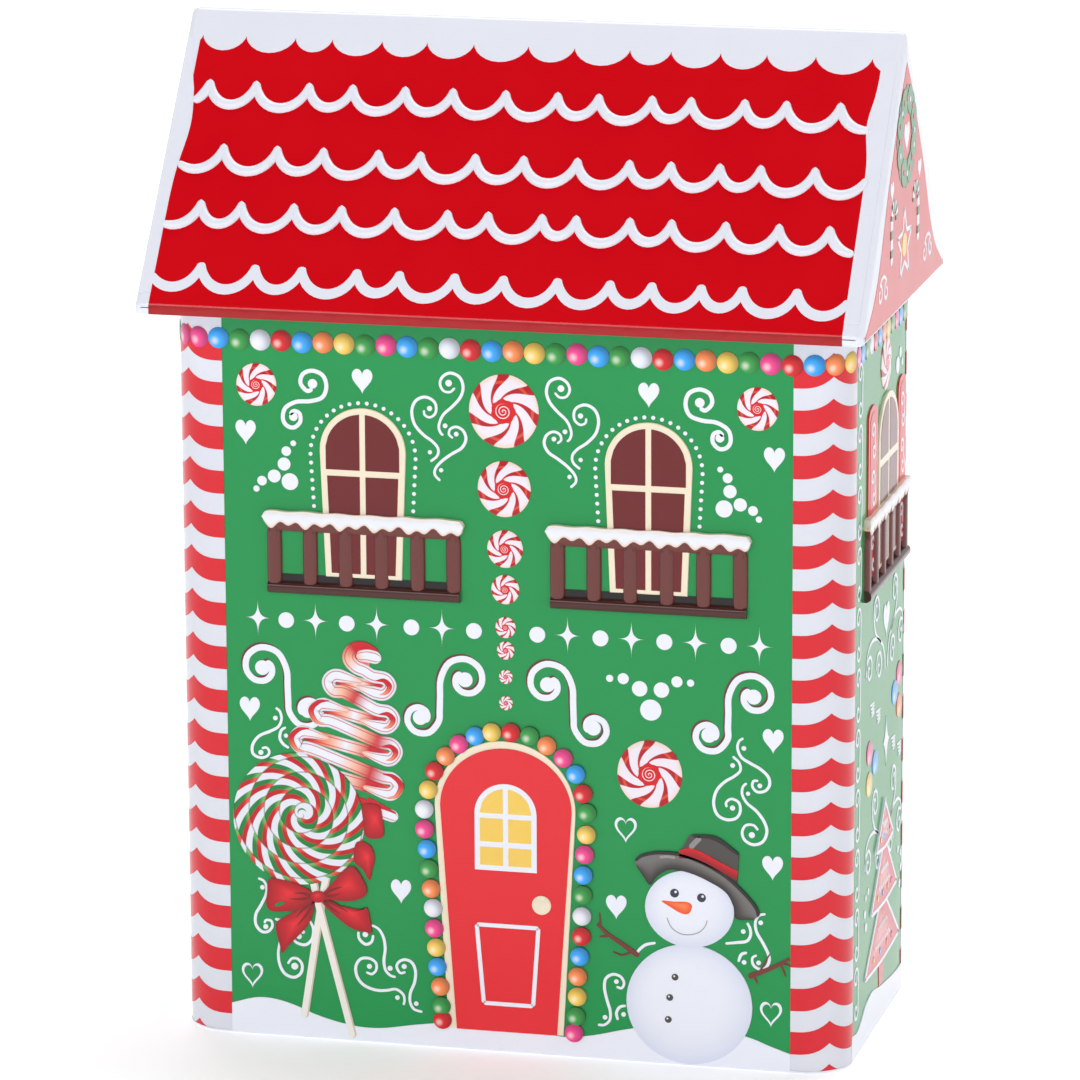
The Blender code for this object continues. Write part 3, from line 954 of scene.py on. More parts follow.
class TIN_OT_door(Operator):
    """Build the arched door with its iced surround, window, panel and knob"""

    bl_idname = "tin.door"
    bl_label = "Door"

    def execute(self, context):
        ink = Inks(context)
        rise = context.scene.tin_sizes.frame_rise / MM
        form = Form(*FRONT_WALLS)
        surround = arch(-0.4, 29.6, 24.3, DOOR_FOOT, DOOR_SPRING, 66.3, 60)
        form.plate(surround, rise - 0.15, ink.cream, bevel=0.2)
        leaf = arch(DOOR_MIDDLE, 27.6, 21.2, DOOR_FOOT, DOOR_SPRING, 64.8, 60)
        form.plate(leaf, rise + LAYER, ink.door, bevel=0.15)
        top = rise + 2 * LAYER
        form.plate(arch(DOOR_MIDDLE, 13.0, 13.0, 39.0, LIGHT_SPRING, 57.4), top, ink.white)
        glass = top + LAYER
        for side in (-1, 1):
            x = np.linspace(0.55, 5.38, 10)
            over = LIGHT_SPRING + 5.3 * np.sqrt(1 - (x / 5.4) ** 2)
            form.band(DOOR_MIDDLE + side * x, 51.1, over, flat(glass), ink.yellow)
            for low, high in ((45.1, 50.0), (40.1, 43.9)):
                form.band(DOOR_MIDDLE + side * x[[0, -1]], low, high, flat(glass), ink.yellow)
        corners = np.array(((-6.4, 27.3), (-5.0, 10.6), (5.4, 10.6), (6.6, 27.3), (-6.4, 27.3)))
        for a, b in zip(corners, corners[1:]):
            form.stroke(np.linspace(a, b, 5), 0.85, top, ink.white)
        form.plate(disc(7.3, 32.3, 2.0), rise + 0.3, ink.cream, crown=0.6)
        form.piece("door", print_finish(), BODY_SLOT)
        return {"FINISHED"}


# The inks of the string of beads, and the beads round the door as (across, up, ink)
GARLAND = "pink blue leaf pearl ruby blue orange yellow leaf".split() * 3
GARLAND += "pink ruby blue orange yellow".split()
DOOR_BEADS = (
    (-13.8, 6.3, "ruby"), (-14, 9.2, "leaf"), (-14.2, 13.4, "orange"), (-14.8, 17.6, "blue"),
    (-15, 21.7, "yellow"), (-15.4, 25.8, "pink"), (-15.6, 30.1, "pearl"), (-16, 34.2, "orange"),
    (-16.4, 38.4, "leaf"), (-16.8, 42.6, "blue"), (-17.3, 46.8, "pink"), (-17.3, 51, "pearl"),
    (-16.4, 55.2, "yellow"), (-15.1, 59.2, "ruby"), (-12.7, 62.5, "orange"),
    (-9.9, 65.2, "pink"), (-6.5, 67.1, "blue"), (-3, 68.1, "yellow"), (1, 68.3, "ruby"),
    (4.9, 67.8, "leaf"), (8.5, 66, "orange"), (11.9, 63.6, "pink"), (14.5, 60.4, "blue"),
    (16, 56.4, "ruby"), (16.8, 52.4, "leaf"), (16.7, 47.8, "yellow"), (16.3, 43.6, "pink"),
    (16, 39.2, "blue"), (15.9, 35, "leaf"), (15.7, 30.5, "pearl"), (15.6, 26.2, "ruby"),
    (15.2, 21.9, "blue"), (14.8, 17.6, "orange"), (14.7, 13.3, "yellow"), (14.4, 9.1, "leaf"),
    (14, 5.5, "pink"),
)
BEAD_PITCH = 4.37
BEAD_LEVEL = 147.0
FIRST_BEAD = -64.0


class TIN_OT_beads(Operator):
    """Print the string of sugar beads under the eaves and the beads round the door"""

    bl_idname = "tin.beads"
    bl_label = "Sugar beads"

    def execute(self, context):
        ink = Inks(context)
        form = Form(round_box)
        count = round(ROUND / BEAD_PITCH)
        for number in range(count):
            x = FIRST_BEAD + ROUND * number / count
            z = BEAD_LEVEL + 0.12 * math.sin(number * 2.2)
            colour = getattr(ink, GARLAND[number % len(GARLAND)])
            form.plate(disc(x, z, 2.2, 20), 3 * LAYER, colour, crown=0.12)
        form.places = FRONT_WALLS
        for x, z, name in DOOR_BEADS:
            form.plate(disc(x, z, 1.95, 20), 0.65, getattr(ink, name), crown=0.1)
        form.piece("sugar_beads", bead_finish(), BODY_SLOT)
        return {"FINISHED"}


# Peppermints, as (across, up, radius)
MINTS = (
    (-0.2, 135.0, 7.2), (-0.2, 119.0, 5.5), (-0.1, 106.6, 3.7), (-0.1, 98.2, 2.9),
    (-51.8, 138.0, 4.2), (51.8, 138.0, 4.2), (29.8, 61.5, 6.7), (-0.1, 90.3, 2.1),
    (-0.1, 85.5, 1.8), (-0.1, 80.0, 1.4), (-0.1, 74.5, 1.4),
)
# Their height over their width
MINT_TALL = 1.05


class TIN_OT_mints(Operator):
    """Build the swirled peppermints of the front and back walls"""

    bl_idname = "tin.mints"
    bl_label = "Peppermints"

    def execute(self, context):
        ink = Inks(context)
        rise = context.scene.tin_sizes.mint_rise / MM
        form = Form(*FRONT_WALLS)
        for x, z, radius in MINTS:
            top = 0.25 * rise if radius > 2.5 else 2 * LAYER
            sweet = oval(x, z - 0.2, radius, radius * MINT_TALL, 0, 48)
            form.plate(sweet, top, ink.white, crown=min(rise - top, radius * 0.08))
        form.piece("peppermints", mint_finish(), BODY_SLOT)
        return {"FINISHED"}


# White hearts, green hearts on white ones, the row of stars and dots by where each is across, and
# the trails of dots as (across, up, radius)
HEARTS = (
    (-29.6, 139.5), (29.6, 139.5), (-54.2, 127.8), (55.2, 127.6), (-54.2, 69.8), (55.2, 69.7),
    (55.2, 43.2), (-22.5, 33.0), (22.8, 32.8),
)
OUTLINED_HEARTS = ((-54.5, 12.8), (24.8, 49.2), (55.0, 12.3))
STARS = (-52.2, -40.0, -27.1, -13.4, 12.8, 26.0, 39.2, 52.3)
DOTS = (-46.2, -33.4, -19.8, -6.7, 6.5, 19.6, 32.8, 46.0)
STAR_LEVEL = 89.2
DOT_LEVEL = 89.0
TRAILS = (
    (-44.2, 126, 0.6), (-45.7, 124.3, 1.0), (-46.2, 121.6, 1.35), (-45, 118, 1.75),
    (-48.3, 119, 1.35), (-50.9, 117.9, 1.0), (-52.1, 116.2, 0.65),
)
DROPS = (
    (21.5, 80.8, 0.75), (24.3, 80.9, 1.15), (27.7, 79, 1.6), (30, 74.7, 2.2), (32.2, 79, 1.6),
    (35.4, 80.9, 1.15), (38.2, 80.8, 0.75),
)
# Fine scrolls, as points along each line. Both halves of a wall have the mirrored ones.
MIRRORED_SCROLLS = (
    ((-10.3, 139.1), (-11.3, 138.2), (-12.7, 138.4), (-13.4, 139.8), (-12.8, 141.3), (-11.2, 142.1),
     (-9.3, 141.3), (-8.6, 139.3), (-9.2, 137.2), (-10.8, 135.3), (-12.8, 133.4), (-13.7, 131.2),
     (-13.4, 129.8), (-12.8, 129.2)),
    ((-16.8, 134.2), (-16.6, 133.2), (-15.5, 132.8), (-14.4, 133.7), (-14.3, 135.4), (-15.2, 136.5),
     (-16.8, 136.9), (-18.5, 136), (-19.3, 134), (-18.8, 131.3), (-17, 129.2), (-15, 127.8),
     (-13.9, 126.4), (-14.1, 124.9), (-15.5, 123.7)),
    ((-10.8, 128.7), (-11.6, 129.5), (-11.3, 130.6), (-10, 131.1), (-8.6, 130.3), (-8.1, 128.6),
     (-9, 126.8), (-11, 125.5), (-13, 124), (-14.4, 122.4), (-14.6, 121), (-13.5, 119.8)),
)
MIRRORED_DOTS = (
    (-11.6, 140, 0.7), (-12.4, 131.2, 0.5), (-15.6, 134.6, 0.55), (-15.6, 125.6, 0.45),
    (-10.1, 129.6, 0.5), (-13.3, 122, 0.45), (-40, 138.5, 1.0), (-44.1, 131.5, 0.9),
)
DOUBLE_SCROLL = (
    (-40, 137.4), (-41.2, 137), (-42.5, 138.5), (-42, 140.4), (-40, 141.2), (-37.8, 140.3),
    (-37.1, 138), (-38, 135.8), (-40.5, 134.9), (-43.5, 134.6), (-45.8, 133.2), (-46.3, 131),
    (-45.5, 129.6), (-44, 129.3), (-42.7, 130.5), (-42.8, 132.2), (-44, 132.7), (-44.8, 131.9),
)
FINE_SCROLLS = (
    ((-48.7, 70.4), (-47.8, 69.6), (-47.5, 68), (-48.2, 66.4), (-50, 65.3), (-52.3, 64.2),
     (-53.7, 62.3), (-53.7, 60.4), (-52.2, 59.6), (-50.7, 60), (-50.2, 61), (-50.8, 61.8), (-51.8, 61.6)),
    ((-46.6, 66.4), (-47.6, 65.6), (-47.9, 64), (-47.2, 62.8), (-46, 62)),
    ((-53, 33.8), (-51.8, 33.3), (-51.2, 32), (-51.4, 30.3), (-52.5, 28), (-53.6, 26), (-53.6, 23.8),
     (-52.4, 22.4), (-51, 22.5), (-50.1, 23.6), (-50.3, 24.8), (-51.4, 24.9), (-51.8, 24.2)),
    ((-49.5, 25.3), (-48.5, 25.1), (-47.5, 24.8)),
    ((-42, 25.4), (-41.3, 23.7), (-41.6, 21.5), (-43, 20.2), (-44.9, 20.5), (-45.9, 21.6)),
    ((-48.5, 20.5), (-48.9, 18), (-48.6, 15.5), (-47.5, 13.6), (-45.6, 13), (-44.1, 14),
     (-43.8, 15.8), (-44.7, 17), (-46, 17), (-46.9, 15.8)),
    ((-28.8, 25.4), (-27.3, 24.6), (-26.3, 22.8), (-26, 20.5), (-26.3, 18), (-26, 16), (-25, 14.9),
     (-23.8, 14.6)),
    ((-31.7, 23.8), (-31.5, 22.3), (-30.2, 21.2), (-28.9, 21.8), (-28.5, 23.3)),
    ((-30.1, 15.2), (-28.9, 14.9), (-28, 15.8), (-28, 17.3), (-29.3, 18.2), (-31.2, 18),
     (-32.3, 16.3), (-32, 14), (-30.5, 12.3), (-28, 11.5), (-25.8, 11.6), (-23.8, 12), (-22.3, 11),
     (-22, 9.8), (-22.2, 8.7)),
    ((-21.7, 15.8), (-22.9, 15.6), (-23.6, 16.9), (-23, 18), (-21.7, 18.5), (-20.3, 17.9),
     (-19.6, 16.2), (-19.8, 13.8), (-20.7, 11.5), (-20.8, 9.5), (-20, 8), (-18.2, 7.5)),
    ((18.9, 7.5), (20.3, 7.6), (21.4, 8.7), (21.5, 10.6), (20.8, 13), (20.3, 15.5), (20.6, 17.5),
     (22.1, 18.5), (23.7, 18.1), (24.4, 16.8), (23.9, 15.7), (22.8, 15.9)),
    ((24.8, 12), (23.5, 11.6), (22.8, 10.3), (23.1, 8.8)),
    ((31, 25.8), (29, 25.3), (27.5, 24), (26.9, 22.8)),
    ((45.5, 26.7), (48, 27.1), (49.9, 27.5), (50.7, 28.8), (50.6, 30.2), (50, 31.4)),
    ((53.8, 33.5), (52.5, 33.1), (51.7, 31.6), (52, 29.5), (53.3, 27.3), (54.3, 25.3), (54.6, 23.8),
     (53.9, 22.2), (52.5, 21.8), (51.3, 22.6), (51.1, 24), (52, 24.7)),
    ((50, 25.1), (48.8, 24.6), (48.2, 23)),
    ((49.1, 70), (48.2, 69.3), (47.9, 67.8), (48.7, 66), (50.5, 64.9), (52.6, 63.8), (54.2, 62.3),
     (54.5, 60.6), (53.6, 59.3), (52, 59), (51, 60), (51.2, 61.2), (52.2, 61.3)),
    ((46.9, 66.1), (48.2, 64.9), (48.5, 63.3), (47.3, 62), (45.2, 60.6), (43.6, 58.7), (43, 56.2),
     (43.7, 53.8), (45.6, 52.8), (47.6, 53.2), (48.5, 54.7), (48.2, 56.5), (46.7, 57.2),
     (45.6, 56.4), (45.7, 55.4)),
    ((49.8, 60.7), (49, 59.8), (48.9, 58.2), (49.9, 56.5), (51.8, 55), (53.4, 52.9), (54, 50.8),
     (53.2, 48.7), (51.3, 47.9), (49.5, 48.7), (48.9, 50.3), (49.6, 51.8), (51.2, 52), (52.2, 51)),
)
FINE_DOTS = (
    (-48.8, 68.2, 0.5), (-52, 60.7, 0.55), (-46.6, 64.6, 0.45), (-52.1, 31.9, 0.5), (-51.5, 23.5, 0.55),
    (-44.4, 21.9, 0.6), (-43.5, 22.9, 0.4), (-45.4, 15.4, 0.75), (-25, 16.4, 0.55), (-30.2, 23.3, 0.6),
    (-29.4, 16.5, 0.55), (-23.5, 10.2, 0.5), (-22, 17, 0.55), (-19.5, 9.2, 0.5), (22.8, 17, 0.5),
    (20.4, 9.2, 0.5), (24.3, 10.1, 0.5), (49.2, 29.5, 0.5), (52.8, 31.6, 0.5), (52.4, 23.1, 0.5),
    (49.4, 23, 0.5), (49.2, 67.9, 0.5), (52.5, 60.3, 0.5), (46.9, 64.2, 0.5), (46.9, 55.3, 0.55),
    (50.1, 58.5, 0.45), (50.9, 49.9, 0.65),
)
# Large double scrolls: the spiral each starts from (x, y, radius, angle where it leaves, turns,
# hand), points on its way, and its end spiral.
BIG_SCROLLS = (
    ((-51.4, 78.7, 5.1, 0, 1.17, -1), ((-46.1, 75), (-46.0, 72)), (-41.9, 70.2, 3.9, 190, 1.1, 1)),
    ((8.6, 78.7, 5.1, 0, 1.17, -1), ((13.9, 75), (14.0, 72)), (18.1, 70.2, 3.9, 190, 1.1, 1)),
    ((-8.6, 78.7, 5.1, 180, 1.17, 1), ((-13.9, 75), (-14.0, 72)), (-18.1, 70.2, 3.9, -10, 1.1, -1)),
    ((51.2, 78.7, 5.1, 180, 1.17, 1), ((46.0, 75), (45.9, 72)), (42.0, 70.2, 3.9, -10, 1.1, -1)),
)
BIG_SCROLL_WIDTH = 1.3
# The arch of tiny dots round each window: its radius and where its straight sides start
DOT_ARCH = (11, 124.0)


class TIN_OT_filigree(Operator):
    """Print the white hearts, stars, dots and scrolls of the front and back walls"""

    bl_idname = "tin.filigree"
    bl_label = "White filigree"

    def execute(self, context):
        ink = Inks(context)
        form = Form(*FRONT_WALLS)
        top = 2 * LAYER
        for x, z in HEARTS:
            form.plate(heart(x, z, 4.3, 5.1), top, ink.white)
        for x, z in OUTLINED_HEARTS:
            form.plate(heart(x, z, 4.6, 5.3, 48), top, ink.white)
            form.plate(heart(x, z + 0.1, 3.5, 4.05, 48), top + LAYER, ink.green)
        for x in STARS:
            form.plate(star(x, STAR_LEVEL, 2.75, 3.9, 4.6), top, ink.white)
        for x in DOTS:
            form.plate(disc(x, DOT_LEVEL, 1.65), top, ink.white)
        for sign in (-1, 1):
            shift = 0.0 if sign > 0 else -0.9
            for x, z, radius in TRAILS:
                form.plate(disc(sign * x, z + shift, radius), top, ink.white)
            for x, z, radius in MIRRORED_DOTS:
                form.plate(disc(sign * -x, z, radius, 12), top, ink.white)
            for points in MIRRORED_SCROLLS:
                form.stroke(smooth(points, 5) * (-sign, 1), (0.45, 0.62, 0.62, 0.5), top, ink.white)
            form.stroke(smooth(DOUBLE_SCROLL, 5) * (-sign, 1), 0.85, top, ink.white)
        for points in FINE_SCROLLS:
            form.stroke(smooth(points, 5), (0.5, 0.62, 0.62, 0.5), top, ink.white)
        for dots, sides in ((FINE_DOTS, 12), (DROPS, 24)):
            for x, z, radius in dots:
                form.plate(disc(x, z, radius, sides), top, ink.white)
        for start, middle, end in BIG_SCROLLS:
            path = scroll(start, middle, end)
            form.stroke(path + (-0.35, 0.35), BIG_SCROLL_WIDTH, LAYER, ink.brown * 0.9)
            form.stroke(path, BIG_SCROLL_WIDTH, top, ink.white)
            for x, z in (start[:2], end[:2]):
                form.plate(disc(x, z, 1.55), top + 0.5 * LAYER, ink.white)
        radius, spring = DOT_ARCH
        ring = [(radius * math.cos(a), spring + radius * math.sin(a)) for a in np.linspace(0, np.pi, 20)]
        for side in (-1, 1):
            ring += [(side * (radius - 0.1 * k), spring - 1.8 * k) for k in range(1, 7)]
        for centre in WINDOWS:
            for x, z in ring:
                form.plate(disc(centre + x, z, 0.42, 10), top, ink.white)
        form.piece("white_filigree", print_finish(), BODY_SLOT)
        return {"FINISHED"}


RIBBON_LEFT = ((-34.2, 82.0), (-38.8, 76.4), (-41.7, 70.1), (-46.0, 64.0), (-48.5, 57.5))
RIBBON_RIGHT = ((-26.2, 82.3), (-23.0, 76.4), (-22.3, 69.4), (-21.8, 62.6), (-21.7, 55.3))
RIBBON_WIDTH = 2.75
# Half the height of a fold
FOLD = 1.65
# The hook at the tree's top, and the folds at a front strand's near and far ends, each from the
# strand's own end point
HOOK = (
    (-26.9, 83.5), (-29.3, 84.4), (-31.4, 84.2), (-32.8, 83.0), (-32.9, 81.4), (-31.6, 80.0),
    (-29.8, 79.3),
)
NEAR_FOLD = (
    (8.6, FOLD - 1.1), (4.8, FOLD - 0.2), (2.6, FOLD - 0.1), (RIBBON_WIDTH / 2, 0.1), (2.4, -FOLD),
    (4.8, -FOLD - 0.2),
)
FAR_FOLD = (
    (-5.0, FOLD + 0.3), (-2.4, FOLD - 0.1), (-RIBBON_WIDTH / 2, 0.0), (-2.6, -FOLD),
    (-4.8, -FOLD + 0.1), (-8.6, -FOLD + 1.2),
)
# Red crescents on the folds, as points from the fold's end inwards, and as (level, (side, points))
OUTER = ((4.4, 2.5), (2.2, 2.1), (0.55, 0.3), (1.6, -2.0), (3.6, -2.5))
INNER = ((4.4, 1.0), (2.6, 1.1), (1.5, 0.0), (2.2, -1.4), (3.6, -1.9))
CRESCENTS = (
    (2, (-1, OUTER)), (3, (-1, OUTER)), (1, (1, INNER)), (2, (1, INNER)), (3, (1, INNER)),
    (4, (1, OUTER)),
)


class TIN_OT_candy_tree(Operator):
    """Print the tree of folded ribbon candy: back strands, then the front ones with their folds"""

    bl_idname = "tin.candy_tree"
    bl_label = "Ribbon candy tree"

    def execute(self, context):
        ink = Inks(context)
        form = Form(*FRONT_WALLS)
        white = ink.white
        blush = linear((0.97, 0.74, 0.64))
        amber = linear((0.96, 0.5, 0.36))
        deep = linear((0.8, 0.0, 0.1))
        left, right = np.array(RIBBON_LEFT), np.array(RIBBON_RIGHT)
        for level in range(1, 5):
            near, far = left[level], right[level]
            back = np.array((
                near + (2.6, FOLD), near * 0.7 + far * 0.3 + (0, 0.8),
                near * 0.3 + far * 0.7 + (0, -0.8), far + (-2.6, -FOLD),
            ))
            shades = (deep, deep, amber, blush, white, blush, deep, deep, amber)
            height = (2 + 0.1 * level) * LAYER
            form.stroke(smooth(back, 6), RIBBON_WIDTH + 0.1, height, shades, blunt=True)
        tail = smooth(((-23.0, 48.6), (-27.0, 49.8), (-32.0, 51.7)), 5)
        form.stroke(tail, 2.6, 2 * LAYER, (white, white, deep, deep))
        crease = smooth(((-23.4, 49.6), (-26.5, 50.9), (-29.5, 52.3)), 5)
        form.stroke(crease, (0.3, 1.0, 1.0), 2.7 * LAYER, deep)
        for level in range(4):
            near, far = left[level], right[level + 1]
            widths = [0.9] + 6 * [RIBBON_WIDTH] + [0.8]
            if level == 0:
                loop = HOOK
                widths[1] = 2.2
                shades = 3 * [deep] + [blush] + 6 * [white] + [blush]
            else:
                loop = (*(near + NEAR_FOLD), (near + far) / 2)
                whites = 3 if level == 1 else 5
                shades = [blush, *(whites * [white]), blush, deep, *((8 - whites) * [white]), blush]
            front = np.array((*loop, *(far + FAR_FOLD)))
            form.stroke(smooth(front, 6), widths, (4.5 - 0.3 * level) * LAYER, shades)
        crook = smooth(((-26.2, 82.0), (-29.0, 82.5), (-31.4, 82.2)), 6)
        form.stroke(crook, (2.6, 2.8, 2.2), 5 * LAYER, (white, white, white, blush))
        under = smooth(((-28.6, 80.8), (-31.2, 81.2), (-32.0, 82.4), (-31.0, 83.6)), 6)
        form.stroke(under, 2.2, 3.7 * LAYER, (amber, deep, deep))
        for level, (side, crescent) in CRESCENTS:
            end = (left if side < 0 else right)[level]
            arc = end + np.array(crescent) * (-side, 1)
            shades = (deep, deep, deep, amber, blush)
            form.stroke(smooth(arc, 6), (0.15, 0.9, 1.2, 0.9, 0.15), 5 * LAYER, shades)
        form.piece("candy_tree", ribbon_finish(), BODY_SLOT)
        return {"FINISHED"}


LOLLIPOP = (-44.1, 47.1, 13.95)
STICKS = (
    ((-38.2, 36.5), (-40.0, 27.0), (-43.6, 4.5)),
    ((-41.6, 36.5), (-40.3, 29.5), (-33.1, 0.9)),
)
BOW_KNOT = (-40.1, 30.8)
# Screen colours of the satin, from the edge in to the shine
RED_GLOW = ((0.62, 0.0, 0.07), (0.78, 0.03, 0.1), (0.92, 0.15, 0.2))
# Two loose folds of ribbon higher up, then the bow's two tails and two loops
BOW_PARTS = (
    ((-30.4, 51), (-27, 51), (-26.2, 48), (-26, 45), (-27, 44.1), (-29.8, 44.3), (-30.4, 48)),
    ((-31.8, 43), (-29, 42.5), (-28, 40), (-28.6, 37), (-29.2, 35), (-30.5, 37.2), (-32.4, 39)),
    ((-41, 30), (-43.5, 28.5), (-46.5, 26.5), (-49, 24.8), (-49.2, 22.8), (-48.5, 20), (-48, 18.1),
     (-46.8, 19.6), (-45, 21.5), (-42.8, 24), (-41.5, 26.5)),
    ((-38.8, 30), (-34.5, 29), (-31, 28.6), (-29.6, 28.9), (-28.8, 24), (-30, 23.9), (-33, 24.5),
     (-36, 26.5), (-39, 29.2)),
    ((-41.2, 31.5), (-44, 33), (-47, 33.8), (-50.5, 33.9), (-51, 31), (-51.2, 28.2), (-50, 27),
     (-47, 27.2), (-44, 28), (-41.3, 30.2)),
    ((-39.2, 31.5), (-37, 34), (-34.5, 37), (-32.5, 37.7), (-31, 36), (-29.8, 33.5), (-30, 31.8),
     (-31.5, 30.8), (-34, 30.2), (-37, 30.3), (-39.2, 30.5)),
)


class TIN_OT_lollipop(Operator):
    """Print the wound lollipop with its sticks and satin bow"""

    bl_idname = "tin.lollipop"
    bl_label = "Lollipop and bow"

    def execute(self, context):
        ink = Inks(context)
        sweet = Form(*FRONT_WALLS)
        sweet.plate(disc(*LOLLIPOP, 96), 5 * LAYER, ink.white)
        sweet.piece("lollipop", lollipop_finish(), BODY_SLOT)
        form = Form(*FRONT_WALLS)
        for number, points in enumerate(STICKS):
            path = smooth(points, 6)
            form.stroke(path + (0.2, 0), 1.6, (3.2 + 0.6 * number) * LAYER, ink.cream * 0.7)
            form.stroke(path, 1.3, (3.5 + 0.6 * number) * LAYER, (ink.cream + ink.white) / 2)
        knot = np.array(BOW_KNOT)
        fold = linear((0.5, 0.03, 0.07))
        satin = [linear(colour) for colour in RED_GLOW]
        for number, part in enumerate(BOW_PARTS):
            outline = smooth(part, 5, closed=True)
            centre = outline.mean(0)
            height = (5.5 + 0.5 * number) * LAYER
            form.glow(outline, centre + (0.4, 0.8), height, satin)
            if number > 1:
                reach = centre - knot
                for share, lean in ((0.9, 0.5), (0.75, -0.7)):
                    side = np.array((-reach[1], reach[0])) / np.hypot(*reach) * lean
                    crease = smooth((
                        knot + reach * 0.12, knot + reach * 0.5 + side, knot + reach * share + side,
                    ), 5)
                    form.stroke(crease, (0.5, 0.6, 0.15), height + 0.4 * LAYER, fold)
        form.glow(oval(*knot, 1.7, 1.25, 5, 24), knot + (-0.3, 0.4), 9 * LAYER, satin)
        form.plate(oval(-48.3, 28.7, 1.1, 0.45, 20, 16), 9 * LAYER, ink.green * 0.8)
        form.piece("sticks_and_bow", print_finish(), BODY_SLOT)
        return {"FINISHED"}


BRIM_TOP = (
    (26.9, 43), (28, 44), (30, 44.7), (32, 45), (35, 45), (38, 44.4), (42, 42.9), (46, 40.6),
    (49.5, 37.5), (51.8, 34.8), (52.4, 33),
)
BRIM_LOW = (
    (27.1, 41.8), (28.4, 40), (29.9, 38.1), (31.3, 39.9), (34, 41.6), (38, 41.2), (42, 39.7),
    (45.6, 37.6), (47.2, 34.8), (47.8, 32.2), (51.3, 32.2),
)
CROWN_TOP = ((36.0, 45.2), (37.2, 47.3), (38.6, 49.2), (43.0, 48.9), (46.0, 47.6), (48.3, 45.7))
CROWN_LOW = ((36.0, 43.9), (38.0, 43.6), (40.0, 43.0), (43.0, 41.9), (46.0, 40.6), (47.9, 39.5))
BAND_TOP = ((36.0, 45.8), (38.0, 46.4), (40.5, 45.8), (44.0, 44.1), (48.1, 42.2))
BAND_LOW = ((36.0, 44.1), (38.0, 44.2), (40.5, 43.5), (44.0, 42.0), (47.9, 40.2))
TWIGS = (
    (((27.5, 22.8), (24, 25.1), (21, 27), (18.8, 29)), 1.15),
    (((19.5, 28.6), (19.3, 31.4)), 0.45), (((21.5, 26.6), (19.3, 26.3)), 0.45),
    (((25.8, 23.4), (24, 22.7), (22.1, 23.3)), 0.45),
    (((50.3, 20), (53, 21.2), (56, 22.7), (58.8, 24.4)), 1.15),
    (((52.5, 21), (54.7, 25.1)), 0.45), (((51.4, 20.2), (52.2, 18.7)), 0.45),
    (((57, 23.2), (58, 20.6)), 0.45), (((57.2, 23.4), (59, 22.9)), 0.45),
)
NOSE = ((32.3, 34.9), (35, 34.9), (37.6, 35), (38.6, 34.3), (38.3, 33), (37.5, 32.4), (36, 32.7),
        (34, 33.8))
EYES = ((35.0, 36.7), (40.6, 36.1))
BUTTONS = ((35.1, 18.9), (34.0, 14.5), (33.7, 9.8))
SMILE = ((33.4, 31.4), (34.3, 29.5), (36, 28.3), (38, 28.1), (40, 28.7), (41.3, 30), (41.8, 31.4))


class TIN_OT_snowman(Operator):
    """Print the snowman with its hat, twig arms, buttons and carrot nose"""

    bl_idname = "tin.snowman"
    bl_label = "Snowman"

    def execute(self, context):
        ink = Inks(context)
        form = Form(*FRONT_WALLS)
        bark = linear((0.45, 0.2, 0.16))
        for number, (points, width) in enumerate(TWIGS):
            form.stroke(smooth(points, 4), (width, width * 0.55), (4 + 0.1 * number) * LAYER, bark)
        rim, snow = linear((0.85, 0.87, 0.94)), ink.white
        shades = (rim, (rim + 3 * snow) / 4, snow, snow, snow)
        body = oval(38.05, 13.3, 13.1, 12.7, 0, 60)
        form.glow(body, (36.3, 15.5), 5 * LAYER, shades)
        head = oval(38.1, 33.5, 9.25, 8.1, 0, 48)
        form.glow(head, (36.8, 35.5), 6 * LAYER, shades)
        felt, shadow = linear((0.3, 0.28, 0.27)), linear((0.16, 0.14, 0.14))
        grey = linear((0.45, 0.44, 0.43))
        form.strip(smooth(CROWN_LOW, 5), smooth(CROWN_TOP, 5), 7 * LAYER, (shadow, felt, felt))
        form.strip(smooth(BRIM_LOW, 5), smooth(BRIM_TOP, 5), 8 * LAYER, (shadow, felt, grey, grey))
        form.stroke(smooth(BRIM_TOP, 5), 0.6, 9 * LAYER, shadow)
        hat_line = smooth(((38.8, 49.0), (43.5, 48.7), (48.2, 45.7)), 6)
        form.stroke(hat_line, (0.5, 0.9, 0.5), 8 * LAYER, shadow)
        band = (linear((0.45, 0.05, 0.1)), ink.red)
        form.strip(smooth(BAND_LOW, 5), smooth(BAND_TOP, 5), 9 * LAYER, band)
        crown_shine = smooth(((38.2, 46.4), (39.2, 47.6), (40.4, 48.8)), 4)
        form.stroke(crown_shine, 1.1, 8 * LAYER, grey * 1.6)
        brim_shine = smooth(((31.9, 44.1), (33.6, 44.35), (35.2, 44.2)), 4)
        form.stroke(brim_shine, 0.6, 9 * LAYER, grey * 1.8)
        for x, z in EYES:
            form.plate(disc(x, z, 0.92), 7 * LAYER, linear((0.2, 0.22, 0.28)))
            form.plate(disc(x + 0.25, z + 0.3, 0.28, 10), 8 * LAYER, snow)
        carrot = (linear((0.95, 0.3, 0.12)), linear((0.99, 0.55, 0.32)))
        form.glow(smooth(NOSE, 4, closed=True), (37.0, 34.2), 7 * LAYER, carrot)
        form.stroke(smooth(SMILE, 5), 0.18, 7 * LAYER, grey * 2)
        for x, z in BUTTONS:
            form.plate(disc(x, z, 0.72), 6 * LAYER, felt)
            form.plate(disc(x - 0.15, z + 0.2, 0.2, 8), 7 * LAYER, snow)
        form.piece("snowman", print_finish(), BODY_SLOT)
        return {"FINISHED"}


# The middle line of the side curls, and how wide the mirrored ones are beside the others
SIDE_MIDDLE = 6.8
MIRRORED_WIDTH = 0.86
